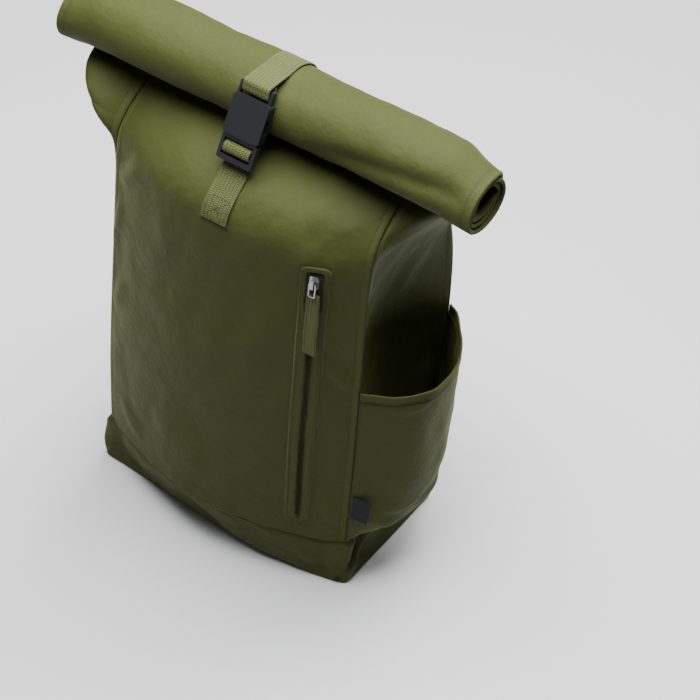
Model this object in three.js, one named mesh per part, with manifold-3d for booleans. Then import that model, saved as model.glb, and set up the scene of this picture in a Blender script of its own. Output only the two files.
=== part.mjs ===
// Rolltop backpack standing on its base. Millimetres, +X to the wearer's front right, +Y to the back, +Z up.
// The origin is on the floor, under the middle of the bag.
import * as THREE from 'three';
import Module from 'manifold-3d';

// Driving sizes.
const HALF_WIDTH = 130; // half the width of the base, side seam to side seam
const HALF_DEPTH = 67.5; // half the depth of the base
const BASE_H = 50; // height of the boot's seam over the floor
const BASE_TUCK = 9; // how far the boot's right side is pressed in
const BASE_SKEW = 0.8; // how much more the boot's front bulges on the right than on the left
const NECK_Z = 420; // height where the flattened top leaves the body
const NECK_GAP = 7; // front to back size of the flattened neck
const ROLL_HALF = 199; // half the length of the rolled collar
const CLOTH = 1.5; // wall of the body cloth
const COLLAR_CLOTH = 1.1; // wall of each collar layer
const SEAM_GAP = 0.3; // clearance between two panels at a seam
const SEAT = 0.45; // clearance between a piece and the cloth it is sewn to
const WEBBING_W = 25;
const WEBBING_T = 1.5;
const ROLL = { y: -28.5, z: 448.3, halfY: 34, halfZ: 28.5, turns: 3, pitchY: 4.8, pitchZ: 5.8, layer: 3.4 };
const ROLL_END = { from: 0.8, scale: 0.86, drop: 6, ahead: 3 }; // the pinch of the roll towards its two ends
const BUCKLE = { y: -85.8, z: 418.4, lean: 64.3, width: 34, thick: 10 }; // lean in degrees from level
const ZIP = { x: 88, low: 74, high: 356, width: 23, mouth: 12, height: 1.3 };
const ADJUSTER_LEAN = 80; // degrees from level
const POCKET = { rim: 230, foot: BASE_H + 1.2, bulge: 44, fullest: 0.43 };
const LABEL = { low: 82, high: 109, share: 0.07, thick: 0.7 }; // share of the pocket's width

// Grid counts.
const FRONT_COLS = 14;
const SIDE_COLS = 8;
const BACK_COLS = 10;

const named = (columns) => (row) => Object.fromEntries(columns.map((name, i) => [name, row[i]]));

// One row per height of the body. Shares: x of HALF_WIDTH, y of HALF_DEPTH, z of NECK_Z.
// seam: the two front seams; mid: the middle of the front; rear: the two back seams.
const BODY_ROWS = [
  [0.975, -1.0, 0.12, -1.54, 0.12, 0.965, 1.0, 0.12],
  [0.98, -1.02, 0.2, -1.59, 0.2, 0.965, 1.0, 0.2],
  [0.985, -1.04, 0.3, -1.63, 0.3, 0.965, 1.0, 0.29],
  [0.985, -1.05, 0.42, -1.66, 0.42, 0.965, 1.0, 0.39],
  [0.98, -1.06, 0.54, -1.68, 0.54, 0.965, 1.0, 0.49],
  [0.975, -1.07, 0.66, -1.69, 0.66, 0.96, 0.99, 0.59],
  [0.97, -1.08, 0.77, -1.69, 0.77, 0.955, 0.96, 0.67],
  [0.97, -1.07, 0.85, -1.67, 0.85, 0.95, 0.89, 0.74],
  [0.97, -1.02, 0.893, -1.63, 0.893, 0.945, 0.79, 0.795],
  [0.965, -0.9, 0.923, -1.5, 0.927, 0.94, 0.67, 0.845],
  [0.96, -0.72, 0.947, -1.28, 0.957, 0.935, 0.53, 0.89],
  [0.955, -0.5, 0.967, -0.98, 0.981, 0.93, 0.38, 0.93],
  [0.95, -0.26, 0.985, -0.56, 0.994, 0.925, 0.24, 0.968],
  [0.945, 0.0, 1.0, 0.0, 1.0, 0.92, 0.104, 1.0],
].map(named(['seamX', 'seamY', 'seamZ', 'midY', 'midZ', 'rearX', 'rearY', 'rearZ']));

// How far the middle of a side panel stands off the line between its two seams, for the same rows.
// Shares: out of HALF_WIDTH, ahead of HALF_DEPTH, lift of NECK_Z. power: 2 is round, 1 is a straight fold.
const SIDE_RIGHT_ROWS = [
  [0.05, 0.0, 0.0, 2.0],
  [-0.12, 0.05, 0.0, 2.0],
  [-0.18, 0.1, 0.0, 2.0],
  [-0.19, 0.12, 0.0, 2.0],
  [-0.19, 0.12, 0.0, 2.0],
  [-0.18, 0.12, 0.0, 2.0],
  [-0.13, 0.1, 0.01, 2.0],
  [-0.03, 0.08, 0.03, 1.9],
  [0.1, 0.04, 0.045, 1.8],
  [0.21, 0.0, 0.045, 1.6],
  [0.3, 0.0, 0.035, 1.5],
  [0.37, 0.0, 0.022, 1.35],
  [0.42, 0.0, 0.01, 1.25],
  [0.46, 0.0, 0.0, 1.2],
].map(named(['out', 'ahead', 'lift', 'power']));

const SIDE_LEFT_ROWS = [
  [0.05, 0.0, 0.0, 2.0],
  [0.06, 0.0, 0.0, 2.0],
  [0.07, 0.0, 0.0, 2.0],
  [0.07, 0.0, 0.0, 2.0],
  [0.06, 0.0, 0.0, 2.0],
  [0.05, 0.0, 0.0, 2.0],
  [0.06, 0.15, 0.01, 2.0],
  [0.11, 0.45, 0.035, 1.9],
  [0.21, 0.74, 0.057, 1.8],
  [0.31, 0.72, 0.055, 1.6],
  [0.38, 0.6, 0.043, 1.5],
  [0.43, 0.42, 0.028, 1.35],
  [0.45, 0.2, 0.014, 1.25],
  [0.46, 0.0, 0.0, 1.2],
].map(named(['out', 'ahead', 'lift', 'power']));

// The boot, from its seam down to the floor and in under the bag. Shares of the row's own seam line:
// grow widens the loop, height is a share of BASE_H, bulge is the share of the front's bulge that is left,
// tuck is the share of BASE_TUCK by which the right side is pressed in under the pocket.
const BASE_ROWS = [
  [1.0, 1.0, 1.0, 0.0],
  [1.01, 0.8, 0.86, 0.5],
  [1.02, 0.55, 0.68, 1.0],
  [1.03, 0.3, 0.5, 1.0],
  [1.035, 0.12, 0.36, 0.8],
  [1.025, 0.0, 0.27, 0.6],
  [0.96, 0.0, 0.22, 0.5],
].map(named(['grow', 'height', 'bulge', 'tuck']));

// The pocket, foot to rim. z is a share of the way from its foot to its rim, bulge a share of POCKET.bulge.
// power is the roundness ahead of the fullest point, tail the roundness behind it.
const POCKET_ROWS = [
  [0.0, 0.2, 2.0, 2.0],
  [0.035, 0.46, 2.2, 2.0],
  [0.1, 0.72, 2.5, 1.9],
  [0.22, 0.88, 2.8, 1.8],
  [0.42, 0.97, 3.0, 2.1],
  [0.64, 1.0, 3.0, 2.2],
  [0.84, 1.0, 3.0, 2.2],
  [1.0, 1.0, 3.0, 2.2],
].map(named(['z', 'bulge', 'power', 'tail']));

const vec = (x, y, z) => new THREE.Vector3(x, y, z);
const lerp = THREE.MathUtils.lerp;
const range = (n) => Array.from({ length: n }, (_, i) => i);

/** One finish: its colour, roughness and metalness. */
const finish = (color, roughness, metalness = 0) =>
  new THREE.MeshStandardMaterial({ color, roughness, metalness });

const canvas = () => finish(0x5f6449, 0.88);
const canvasDark = () => finish(0x4c5138, 0.9);
const webbing = () => finish(0x74785a, 0.85);
const blackPlastic = () => finish(0x1b1d24, 0.42);
const steel = () => finish(0xc8cacb, 0.25, 1);

/** A value of a table column at row position t, smooth through its rows. */
function column(rows, name, t) {
  const i = Math.min(Math.floor(t), rows.length - 2);
  const at = (k) => rows[Math.max(0, Math.min(rows.length - 1, k))][name];
  const f = t - i;
  const [a, b, c, d] = [at(i - 1), at(i), at(i + 1), at(i + 2)];
  const bend = (2 * a - 5 * b + 4 * c - d) * f + (3 * b - a - 3 * c + d) * f * f;
  return b + 0.5 * f * (c - a + bend);
}

/** A named Mesh from vertices and triangles, wound so that its faces look out. */
function meshOf(name, points, faces, material) {
  const volume = faces.reduce((sum, [a, b, c]) =>
    sum + points[a].dot(vec(0, 0, 0).crossVectors(points[b], points[c])), 0);
  const wound = volume < 0 ? faces.map(([a, b, c]) => [a, c, b]) : faces;
  const geometry = new THREE.BufferGeometry();
  const flat = points.flatMap((p) => [p.x, p.y, p.z]);
  geometry.setAttribute('position', new THREE.Float32BufferAttribute(flat, 3));
  geometry.setIndex(wound.flat());
  geometry.computeVertexNormals();
  const mesh = new THREE.Mesh(geometry, material);
  mesh.name = name;
  return mesh;
}

/** Unit normals of a grid of points, mitred at corners. They look out of a grid whose rows run upward. */
function gridNormals(grid, wrap) {
  const rows = grid.length;
  const cols = grid[0].length;
  const col = (i) => (wrap ? (i + cols) % cols : Math.max(0, Math.min(cols - 1, i)));
  const row = (j) => Math.max(0, Math.min(rows - 1, j));
  const side = (j, i, di) => {
    const along = grid[j][col(i + di)].clone().sub(grid[j][i]).multiplyScalar(di);
    const up = grid[row(j + 1)][i].clone().sub(grid[row(j - 1)][i]);
    return along.cross(up);
  };
  return grid.map((line, j) => line.map((_, i) => {
    const both = [side(j, i, -1), side(j, i, 1)].filter((n) => n.lengthSq() > 1e-12);
    both.forEach((n) => n.normalize());
    const mean = both.reduce((sum, n) => sum.add(n), vec(0, 0, 0)).normalize();
    const mitre = Math.min(1.4, 1 / Math.max(0.5, mean.dot(both[0])));
    return mean.multiplyScalar(mitre);
  }));
}

/** The grid moved along its normals. */
const offsetGrid = (grid, normals, by) =>
  grid.map((line, j) => line.map((p, i) => p.clone().addScaledVector(normals[j][i], by)));

/** A closed solid between two equal grids. wrap joins the columns into a loop; floor closes the last row. */
function solidBetween(name, outer, inner, material, { wrap = false, floor = false } = {}) {
  const rows = outer.length;
  const cols = outer[0].length;
  const points = [...outer.flat(), ...inner.flat()];
  const id = (layer, j, i) => layer * rows * cols + j * cols + (i % cols);
  const faces = [];
  const quad = (a, b, c, d) => faces.push([a, b, c], [a, c, d]);
  const spans = wrap ? cols : cols - 1;
  for (let j = 0; j < rows - 1; j += 1) {
    for (let i = 0; i < spans; i += 1) {
      quad(id(0, j, i), id(0, j, i + 1), id(0, j + 1, i + 1), id(0, j + 1, i));
      quad(id(1, j, i), id(1, j + 1, i), id(1, j + 1, i + 1), id(1, j, i + 1));
    }
  }
  const last = rows - 1;
  for (let i = 0; i < spans; i += 1) {
    quad(id(0, 0, i), id(1, 0, i), id(1, 0, i + 1), id(0, 0, i + 1));
    if (!floor) quad(id(0, last, i), id(0, last, i + 1), id(1, last, i + 1), id(1, last, i));
  }
  if (!wrap) {
    for (let j = 0; j < last; j += 1) {
      quad(id(0, j, 0), id(0, j + 1, 0), id(1, j + 1, 0), id(1, j, 0));
      quad(id(0, j, cols - 1), id(1, j, cols - 1), id(1, j + 1, cols - 1), id(0, j + 1, cols - 1));
    }
  }
  if (floor) {
    [outer, inner].forEach((grid, layer) => {
      const centre = points.length;
      const mean = grid[last].reduce((sum, p) => sum.add(p), vec(0, 0, 0)).divideScalar(cols);
      points.push(mean);
      for (let i = 0; i < cols; i += 1) {
        const edge = [id(layer, last, i), id(layer, last, i + 1)];
        faces.push(layer === 0 ? [edge[0], edge[1], centre] : [edge[1], edge[0], centre]);
      }
    });
  }
  return meshOf(name, points, faces, material);
}

/** The outline of the bag at row position t: front, right, back and left, counter-clockwise from above. */
function bodyLoop(t) {
  const get = (name) => column(BODY_ROWS, name, t);
  const front = { x: get('seamX') * HALF_WIDTH, y: get('seamY') * HALF_DEPTH, z: get('seamZ') * NECK_Z };
  const rear = { x: get('rearX') * HALF_WIDTH, y: get('rearY') * HALF_DEPTH, z: get('rearZ') * NECK_Z };
  const mid = { y: get('midY') * HALF_DEPTH, z: get('midZ') * NECK_Z };
  const frontLine = range(FRONT_COLS).map((i) => {
    const u = -1 + (2 * i) / FRONT_COLS;
    const share = 1 - u * u;
    return vec(u * front.x, lerp(front.y, mid.y, share), lerp(front.z, mid.z, share));
  });
  const backLine = range(BACK_COLS).map((i) => vec(rear.x * (1 - (2 * i) / BACK_COLS), rear.y, rear.z));
  const right = sideLine(front, rear, SIDE_RIGHT_ROWS, t, 1);
  const left = sideLine(front, rear, SIDE_LEFT_ROWS, t, -1).reverse();
  return [...frontLine, ...right.slice(0, -1), ...backLine, ...left.slice(0, -1)];
}

/** One side of the outline, from the front seam to the back seam. sign is 1 on the right, -1 on the left. */
function sideLine(front, rear, rows, t, sign) {
  const get = (name) => column(rows, name, t);
  const power = get('power');
  return range(SIDE_COLS + 1).map((i) => {
    const v = i / SIDE_COLS;
    const turn = 2 * v - 1;
    const share = 1 - Math.abs(turn) ** power;
    const fold = Math.sign(turn) * Math.abs(turn) ** Math.min(1, Math.max(0.25, (power - 1.05) * 1.6));
    const across = 0.5 + 0.5 * fold;
    return vec(
      sign * (lerp(front.x, rear.x, v) + get('out') * HALF_WIDTH * share),
      lerp(front.y, rear.y, across) - get('ahead') * HALF_DEPTH * share,
      lerp(front.z, rear.z, across) + get('lift') * NECK_Z * share,
    );
  });
}

// Row positions of the body grid, closer together over the shoulder.
const BODY_T = [0, 1, 2, 3, 4, 5, 6, 7, 7.6, 8.2, 8.8, 9.4, 10, 10.6, 11.2, 11.8, 12.4, 13];
const BODY_OUTER = BODY_T.map(bodyLoop);
const BODY_NORMALS = gridNormals(BODY_OUTER, true);
const BODY_INNER = offsetGrid(BODY_OUTER, BODY_NORMALS, -CLOTH);
BODY_INNER[0].forEach((p, i) => {
  p.z = BODY_OUTER[0][i].z;
});

/** Columns first to last of a looped grid, drawn in by half a seam gap on all four edges. */
function panelGrid(grid, first, last) {
  const cols = grid[0].length;
  const pull = (a, b, by) => a.clone().addScaledVector(b.clone().sub(a).normalize(), by);
  const cut = grid.map((line) => range(last - first + 1).map((i) => line[(first + i) % cols].clone()));
  const n = last - first;
  const trimmed = cut.map((line) => line.map((p, i) => {
    if (i === 0) return pull(p, line[1], SEAM_GAP / 2);
    return i === n ? pull(p, line[n - 1], SEAM_GAP / 2) : p;
  }));
  const rows = trimmed.length;
  return trimmed.map((line, j) => line.map((p, i) => {
    if (j === 0) return pull(p, trimmed[1][i], SEAM_GAP / 2);
    return j === rows - 1 ? pull(p, trimmed[rows - 2][i], SEAM_GAP / 2) : p;
  }));
}

/** One cloth panel of the body. */
function panel(name, first, last, material) {
  const outer = panelGrid(BODY_OUTER, first, last);
  const inner = panelGrid(BODY_INNER, first, last);
  return solidBetween(name, outer, inner, material);
}

/** The four panels of the body. */
function bodyPanels() {
  const right = FRONT_COLS;
  const back = right + SIDE_COLS;
  const left = back + BACK_COLS;
  return [
    panel('front_panel', 0, right, canvas()),
    panel('side_panel_right', right, back, canvas()),
    panel('back_panel', back, left, canvasDark()),
    panel('side_panel_left', left, left + SIDE_COLS, canvas()),
  ];
}

/** The boot: a tray that follows the body's lowest outline down to the floor. */
function basePanel() {
  const seam = bodyLoop(0);
  const plain = seam.map((p) => vec(p.x, Math.max(p.y, -HALF_DEPTH), 0));
  const outer = BASE_ROWS.map(({ grow, height, bulge, tuck }) => seam.map((p, i) => {
    const skew = 1 + BASE_SKEW * (1 - height) * (p.x / HALF_WIDTH);
    const press = i > FRONT_COLS && i < FRONT_COLS + SIDE_COLS ? 1 - (p.y / HALF_DEPTH) ** 2 : 0;
    return vec(
      p.x * grow - BASE_TUCK * tuck * press,
      lerp(plain[i].y, p.y, bulge * skew) * grow,
      height * BASE_H - (height === 1 ? SEAM_GAP / 2 : 0),
    );
  }));
  const inner = offsetGrid(outer, gridNormals(outer, true), CLOTH);
  inner.forEach((line, j) => line.forEach((p) => {
    if (j === 0) p.z = outer[0][0].z;
    if (j > BASE_ROWS.length - 3) p.z = CLOTH;
  }));
  return solidBetween('base_panel', outer, inner, canvasDark(), { wrap: true, floor: true });
}

/** The point of the roll's spiral at angle a and length share x: its middle line and its outward normal. */
function rollPoint(a, x) {
  const end = THREE.MathUtils.smoothstep(Math.abs(x), ROLL_END.from, 1);
  const scale = lerp(1, ROLL_END.scale, end);
  const turn = a / (2 * Math.PI);
  const halfY = (ROLL.halfY - ROLL.pitchY * turn) * scale;
  const halfZ = (ROLL.halfZ - ROLL.pitchZ * turn) * scale;
  const normal = vec(0, Math.cos(a) / halfY, Math.sin(a) / halfZ).normalize();
  const middle = vec(0, ROLL.y - ROLL_END.ahead * end, ROLL.z - ROLL_END.drop * end);
  return { point: middle.add(vec(0, halfY * Math.cos(a), halfZ * Math.sin(a))), normal };
}

/** The lead from the neck up to the start of the spiral, s from 0 to 1. */
function leadPoint(s, x) {
  const start = vec(0, NECK_GAP / 2, NECK_Z + SEAM_GAP);
  const goal = rollPoint(0, x).point;
  const bow = vec(0, start.y, lerp(start.z, goal.z, 0.4));
  const curve = new THREE.QuadraticBezierCurve3(start, bow, goal);
  const tangent = curve.getTangent(s);
  return { point: curve.getPoint(s), normal: vec(0, tangent.z, -tangent.y) };
}

/** The rolled collar: a flattened tube of two layers, wound forward from the neck. */
function rolledCollar() {
  const leadRows = 4;
  const turnRows = Math.round(ROLL.turns * 15);
  const stations = [-1, -0.9, -0.78, 0, 0.78, 0.9, 1];
  const loop = [
    ...stations.map((x) => [x, -1]), [1.006, 0], ...[...stations].reverse().map((x) => [x, 1]), [-1.006, 0],
  ];
  const outer = range(leadRows + turnRows + 1).map((j) => {
    const lead = j < leadRows;
    const angle = lead ? 0 : ((j - leadRows) / turnRows) * ROLL.turns * 2 * Math.PI;
    const thick = lead ? lerp(NECK_GAP, ROLL.layer, j / leadRows) : ROLL.layer;
    const neck = BODY_OUTER.at(-1)[FRONT_COLS + SIDE_COLS / 2].x;
    const half = lead ? lerp(neck, ROLL_HALF, j / leadRows) : ROLL_HALF - 2.2 * (angle / (2 * Math.PI));
    return loop.map(([x, side]) => {
      const at = lead ? leadPoint(j / leadRows, x) : rollPoint(angle, x);
      return vec(x * half, 0, 0).add(at.point).addScaledVector(at.normal, (side * thick) / 2);
    });
  });
  const inner = offsetGrid(outer, gridNormals(outer, true), -COLLAR_CLOTH);
  inner[0].forEach((p, i) => { p.z = outer[0][i].z; });
  return solidBetween('rolled_collar', outer, inner, canvas(), { wrap: true });
}

/** A point of the pocket's outer face: height z, and v from its front edge to its back edge. */
function pocketAt(z, v) {
  const place = (z - POCKET.foot) / (POCKET.rim - POCKET.foot);
  const row = Math.min(POCKET_ROWS.length - 2, POCKET_ROWS.findIndex((r) => r.z > place - 1e-9) - 1);
  const [low, high] = [POCKET_ROWS[Math.max(0, row)], POCKET_ROWS[Math.max(0, row) + 1]];
  const f = (place - low.z) / (high.z - low.z);
  const mix = (name) => lerp(low[name], high[name], f);
  const loop = bodyLoopAt(z);
  const [front, rear] = [loop[FRONT_COLS], loop[FRONT_COLS + SIDE_COLS]];
  const ahead = v < POCKET.fullest;
  const reach = Math.abs(v - POCKET.fullest) / (ahead ? POCKET.fullest : 1 - POCKET.fullest);
  const share = 1 - reach ** mix(ahead ? 'power' : 'tail');
  const x = lerp(front.x, rear.x, v) + CLOTH + SEAT + POCKET.bulge * mix('bulge') * share;
  return vec(x, lerp(front.y, rear.y, v), z);
}

/** The open pocket on the right side, caught in the two side seams and the boot's seam. */
function sidePocket() {
  const outer = POCKET_ROWS.map(({ z }) =>
    range(17).map((i) => pocketAt(lerp(POCKET.foot, POCKET.rim, z), i / 16)));
  const inner = offsetGrid(outer, gridNormals(outer, false), -CLOTH);
  inner[0].forEach((p) => { p.z = POCKET.foot; });
  inner.at(-1).forEach((p) => { p.z = POCKET.rim; });
  return solidBetween('side_pocket_right', outer, inner, canvas());
}

/** The outline of the body at height z, below the shoulder, where the front seam is level. */
function bodyLoopAt(z) {
  let low = 0;
  let high = 8;
  for (let i = 0; i < 30; i += 1) {
    const half = (low + high) / 2;
    if (column(BODY_ROWS, 'seamZ', half) * NECK_Z < z) low = half;
    else high = half;
  }
  return bodyLoop(low);
}

/** The point on the facets of the front panel at x and z, raised off the cloth by off. */
function onFront(x, z, off) {
  const heights = BODY_OUTER.map((line) => line[0].z);
  const j = Math.max(0, Math.min(heights.length - 2, heights.findIndex((h) => h > z) - 1));
  const f = (z - heights[j]) / (heights[j + 1] - heights[j]);
  const seam = lerp(BODY_OUTER[j][FRONT_COLS].x, BODY_OUTER[j + 1][FRONT_COLS].x, f);
  const c = ((x / seam + 1) / 2) * FRONT_COLS;
  const i = Math.max(0, Math.min(FRONT_COLS - 1, Math.floor(c)));
  const mix = (grid) => grid[j][i].clone().lerp(grid[j][i + 1], c - i)
    .lerp(grid[j + 1][i].clone().lerp(grid[j + 1][i + 1], c - i), f);
  return mix(BODY_OUTER).addScaledVector(mix(BODY_NORMALS).normalize(), off);
}

/** A strip on the front panel between two heights, with its top and underside raised off the cloth. */
function frontStrip(name, x, half, low, high, under, over, material, crown = 0) {
  const rows = 13;
  const across = crown ? [-1, -0.5, 0.5, 1] : [-1, 0, 1];
  const grid = (off, arch) => range(rows).map((j) => across.map((c) => {
    const lift = arch * (Math.abs(c) < 1 ? 1 : 0);
    return onFront(x + c * half, lerp(low, high, j / (rows - 1)), off + lift);
  }));
  return solidBetween(name, grid(over, crown), grid(under, 0), material);
}

/** The stitched frame round the zip. */
function zipWelt() {
  const inX = ZIP.mouth / 2;
  const outX = ZIP.width / 2;
  const rim = outX - inX;
  const side = 12;
  const up = range(side).map((j) => [1, j / side]);
  const down = range(side).map((j) => [-1, 1 - j / side]);
  const loop = [...up, [1, 1], ...down, [-1, 0]];
  const grid = (off) => loop.map(([sx, share]) => [0, 1].map((out) => {
    const low = ZIP.low - out * rim;
    const high = ZIP.high + out * rim;
    return onFront(ZIP.x + sx * (out ? outX : inX), lerp(low, high, share), off);
  }));
  const turned = (rows) => range(2).map((k) => rows.map((line) => line[k]));
  const top = turned(grid(SEAT + ZIP.height));
  return solidBetween('zip_welt', top, turned(grid(SEAT)), canvas(), { wrap: true });
}

let kernel;

/** The booleans' kernel, loaded once. */
async function solids() {
  if (!kernel) {
    kernel = await Module();
    kernel.setup();
  }
  return kernel;
}

/** A box with its middle at (x, y, z), for the booleans. */
const boxOf = (k, w, l, h, x = 0, y = 0, z = 0) => k.Manifold.cube([w, l, h], true).translate([x, y, z]);

/** An upright plate with rounded corners, its outline w by l in XY, h thick about z. */
function roundPlate(k, w, l, h, radius, x = 0, y = 0, z = 0) {
  const core = k.CrossSection.square([w - 2 * radius, l - 2 * radius], true).offset(radius, 'Round', 2, 16);
  return k.Manifold.extrude(core, h).translate([x, y, z - h / 2]);
}

/** A Mesh from a boolean's result. */
function meshFrom(name, body, material) {
  const { vertProperties, triVerts, numProp } = body.getMesh();
  const points = range(vertProperties.length / numProp).map((i) =>
    vec(...vertProperties.slice(i * numProp, i * numProp + 3)));
  const faces = range(triVerts.length / 3).map((i) => Array.from(triVerts.slice(3 * i, 3 * i + 3)));
  return meshOf(name, points, faces, material);
}

/** The slider, bail and cloth puller, lying on the zip's upper end. */
async function zipPull() {
  const k = await solids();
  const base = ZIP.high - 9;
  const coilTop = SEAT + 0.5 + SEAT + 1.5;
  const seat = onFront(ZIP.x, base, coilTop + 2 * SEAT);
  const below = onFront(ZIP.x, base - 60, coilTop + 2 * SEAT);
  const lean = Math.atan2(seat.z - below.z, seat.y - below.y);
  const slider = roundPlate(k, 8, 12, 2, 2, 0, 0, 1)
    .add(boxOf(k, 3, 9, 3.6, 0, 0, 3.5))
    .subtract(boxOf(k, 4, 5.6, 1.9, 0, 0, 3.4));
  const bail = roundPlate(k, 7, 15, 1.1, 2.5, 0, -6.2, 3.4)
    .subtract(roundPlate(k, 4.6, 12.6, 2, 1.4, 0, -6.2, 3.4));
  const eye = k.Manifold.cylinder(14, 2.2, 2.2, 16, true).rotate([0, 90, 0]).translate([0, -13.1, 3.4]);
  const tunnel = boxOf(k, 20, 2.4, 2.2, 0, -13.1, 3.4);
  const puller = eye.add(roundPlate(k, 14, 62, 2.4, 1, 0, -44.5, 3.2))
    .subtract(tunnel).subtract(boxOf(k, 8.2, 4, 9, 0, -11.4, 3.4));
  const pieces = [
    meshFrom('zip_slider', slider, steel()),
    meshFrom('zip_bail', bail, steel()),
    meshFrom('zip_puller', puller, webbing()),
  ];
  pieces.forEach((mesh) => {
    mesh.position.copy(seat);
    mesh.rotation.x = lean;
  });
  return pieces;
}

/** The zip: welt, tape, coil and pull. */
async function zip() {
  const half = ZIP.mouth / 2 - SEAM_GAP;
  const tapeTop = SEAT + 0.5;
  return [
    zipWelt(),
    frontStrip('zip_tape', ZIP.x, half, ZIP.low + 1, ZIP.high - 1, SEAT, tapeTop, canvasDark()),
    frontStrip('zip_coil', ZIP.x, 2.6, ZIP.low + 3, ZIP.high - 3, tapeTop + SEAT, tapeTop + SEAT + 0.5,
      canvasDark(), 1),
    ...(await zipPull()),
  ];
}

/** The bare label, caught in the front right seam and lying on the pocket. */
function sideLabel() {
  const heights = range(3).map((j) => lerp(LABEL.low, LABEL.high, j / 2));
  const face = heights.map((z) => range(4).map((i) => pocketAt(z, 0.004 + (LABEL.share * i) / 3)));
  const normals = gridNormals(face, false);
  const grid = (off) => offsetGrid(face, normals, off);
  return solidBetween('side_label', grid(SEAT + LABEL.thick), grid(SEAT), finish(0x23262f, 0.7));
}

/** A flat ribbon along a path in the YZ plane, its width along X. */
function ribbon(name, path, width, thick, count, material, x = 0) {
  const curve = new THREE.CatmullRomCurve3(path.map(([y, z]) => vec(0, y, z)), false, 'centripetal');
  const rows = range(count + 1).map((j) => {
    const s = j / count;
    const tangent = curve.getTangentAt(s);
    return { point: curve.getPointAt(s), normal: vec(0, tangent.z, -tangent.y) };
  });
  const grid = (side) => rows.map(({ point, normal }) => [-1, 1].map((c) =>
    vec(x + (c * width) / 2, 0, 0).add(point).addScaledVector(normal, (side * thick) / 2)));
  return solidBetween(name, grid(1), grid(-1), material);
}

/** A point in the buckle's own frame, s up the buckle and h off its middle plane, as [y, z]. */
function buckleAt(s, h) {
  const lean = THREE.MathUtils.degToRad(BUCKLE.lean);
  const y = BUCKLE.y + s * Math.cos(lean) - h * Math.sin(lean);
  return [y, BUCKLE.z + s * Math.sin(lean) + h * Math.cos(lean)];
}

/** The webbing sewn to the front, up behind the buckle, out over its middle bar and back in. */
function frontWebbing() {
  const lift = SEAT + WEBBING_T / 2;
  const sewn = [0.888, 0.905, 0.925].map((share) => {
    const p = onFront(0, share * NECK_Z, lift);
    return [p.y, p.z];
  });
  const path = [
    ...sewn, buckleAt(-6, -6.5), buckleAt(3, -6.6), buckleAt(11, -6.4), buckleAt(14.2, -4.2),
    buckleAt(12.6, 0), buckleAt(10.8, 3.2), buckleAt(7.8, 4.1), buckleAt(4.8, 3.2), buckleAt(3.7, 0),
    buckleAt(4.6, -3.2), buckleAt(8.5, -4),
  ];
  return ribbon('front_webbing', path, WEBBING_W, WEBBING_T, 46, webbing());
}

/** The webbing from the buckle's upper half over the roll and down to the back panel. */
function topWebbing() {
  const lift = ROLL.layer / 2 + SEAT + WEBBING_T / 2;
  const over = [100, 80, 60, 40, 20, 2].map((deg) => {
    const { point, normal } = rollPoint(THREE.MathUtils.degToRad(deg), 0);
    return [point.y + normal.y * lift, point.z + normal.z * lift];
  });
  const back = [12.6, 11.4, 10.2, 9.2].map((t) => {
    const y = column(BODY_ROWS, 'rearY', t) * HALF_DEPTH;
    const z = column(BODY_ROWS, 'rearZ', t) * NECK_Z;
    const dy = column(BODY_ROWS, 'rearY', t - 0.1) * HALF_DEPTH - y;
    const dz = column(BODY_ROWS, 'rearZ', t - 0.1) * NECK_Z - z;
    const size = Math.hypot(dy, dz);
    return [y - (dz / size) * (lift - 1), z + (dy / size) * (lift - 1)];
  });
  const path = [
    buckleAt(67, -4.2), buckleAt(61, -3.8), buckleAt(55.8, -1.8), buckleAt(55.8, 1.8), buckleAt(60.5, 3.6),
    buckleAt(66, 2.4), ...over,
    [NECK_GAP + 6.2, NECK_Z + 12], ...back,
  ];
  return ribbon('top_webbing', path, WEBBING_W, WEBBING_T, 44, webbing());
}

/** The lower half of the buckle: a ladder frame for the webbing and three prongs in the upper half. */
function buckleMale(k) {
  const frame = roundPlate(k, BUCKLE.width - 1, 21, 6, 2, 0, 7.5, 0)
    .subtract(boxOf(k, 27, 4.6, 10, 0, 3.8, 0))
    .subtract(boxOf(k, 27, 5.4, 10, 0, 12.3, 0))
    .subtract(boxOf(k, 27, 4, 3, 0, 7.8, 3.7))
    .subtract(boxOf(k, 27, 4, 3, 0, 7.8, -3.7));
  const tongue = boxOf(k, 5, 24, 3.6, 0, 29, 0);
  const arm = (sign) => boxOf(k, 3.4, 20, 3.6, sign * 11, 27, 0)
    .add(roundPlate(k, 6, 9, 3.6, 1.5, sign * 11.6, 35, 0));
  return frame.add(tongue).add(arm(1)).add(arm(-1));
}

/** The upper half of the buckle: a hollow body with an open mouth, two side windows and a webbing bar. */
function buckleFemale(k) {
  const body = roundPlate(k, BUCKLE.width, 34, BUCKLE.thick, 3, 0, 35.6, 0)
    .add(roundPlate(k, BUCKLE.width - 3, 16, 6, 2, 0, 56, 0));
  return body
    .subtract(boxOf(k, 29, 28, 5, 0, 31, 0))
    .subtract(boxOf(k, 60, 12, 5, 0, 35, 0))
    .subtract(boxOf(k, 26.6, 4.6, 14, 0, 55.6, 0))
    .subtract(boxOf(k, 26.6, 9, 6, 0, 60, 4.5))
    .subtract(boxOf(k, 26.6, 9, 6, 0, 60, -4.5))
    .subtract(boxOf(k, 26.6, 6, 14, 0, 66.2, 0));
}

/** Both halves of the buckle, fastened, on the front of the roll. */
async function buckle() {
  const k = await solids();
  const pieces = [
    meshFrom('buckle_male', buckleMale(k), blackPlastic()),
    meshFrom('buckle_female', buckleFemale(k), blackPlastic()),
  ];
  pieces.forEach((mesh) => {
    mesh.position.set(0, BUCKLE.y, BUCKLE.z);
    mesh.rotation.x = THREE.MathUtils.degToRad(BUCKLE.lean);
  });
  return pieces;
}

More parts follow.
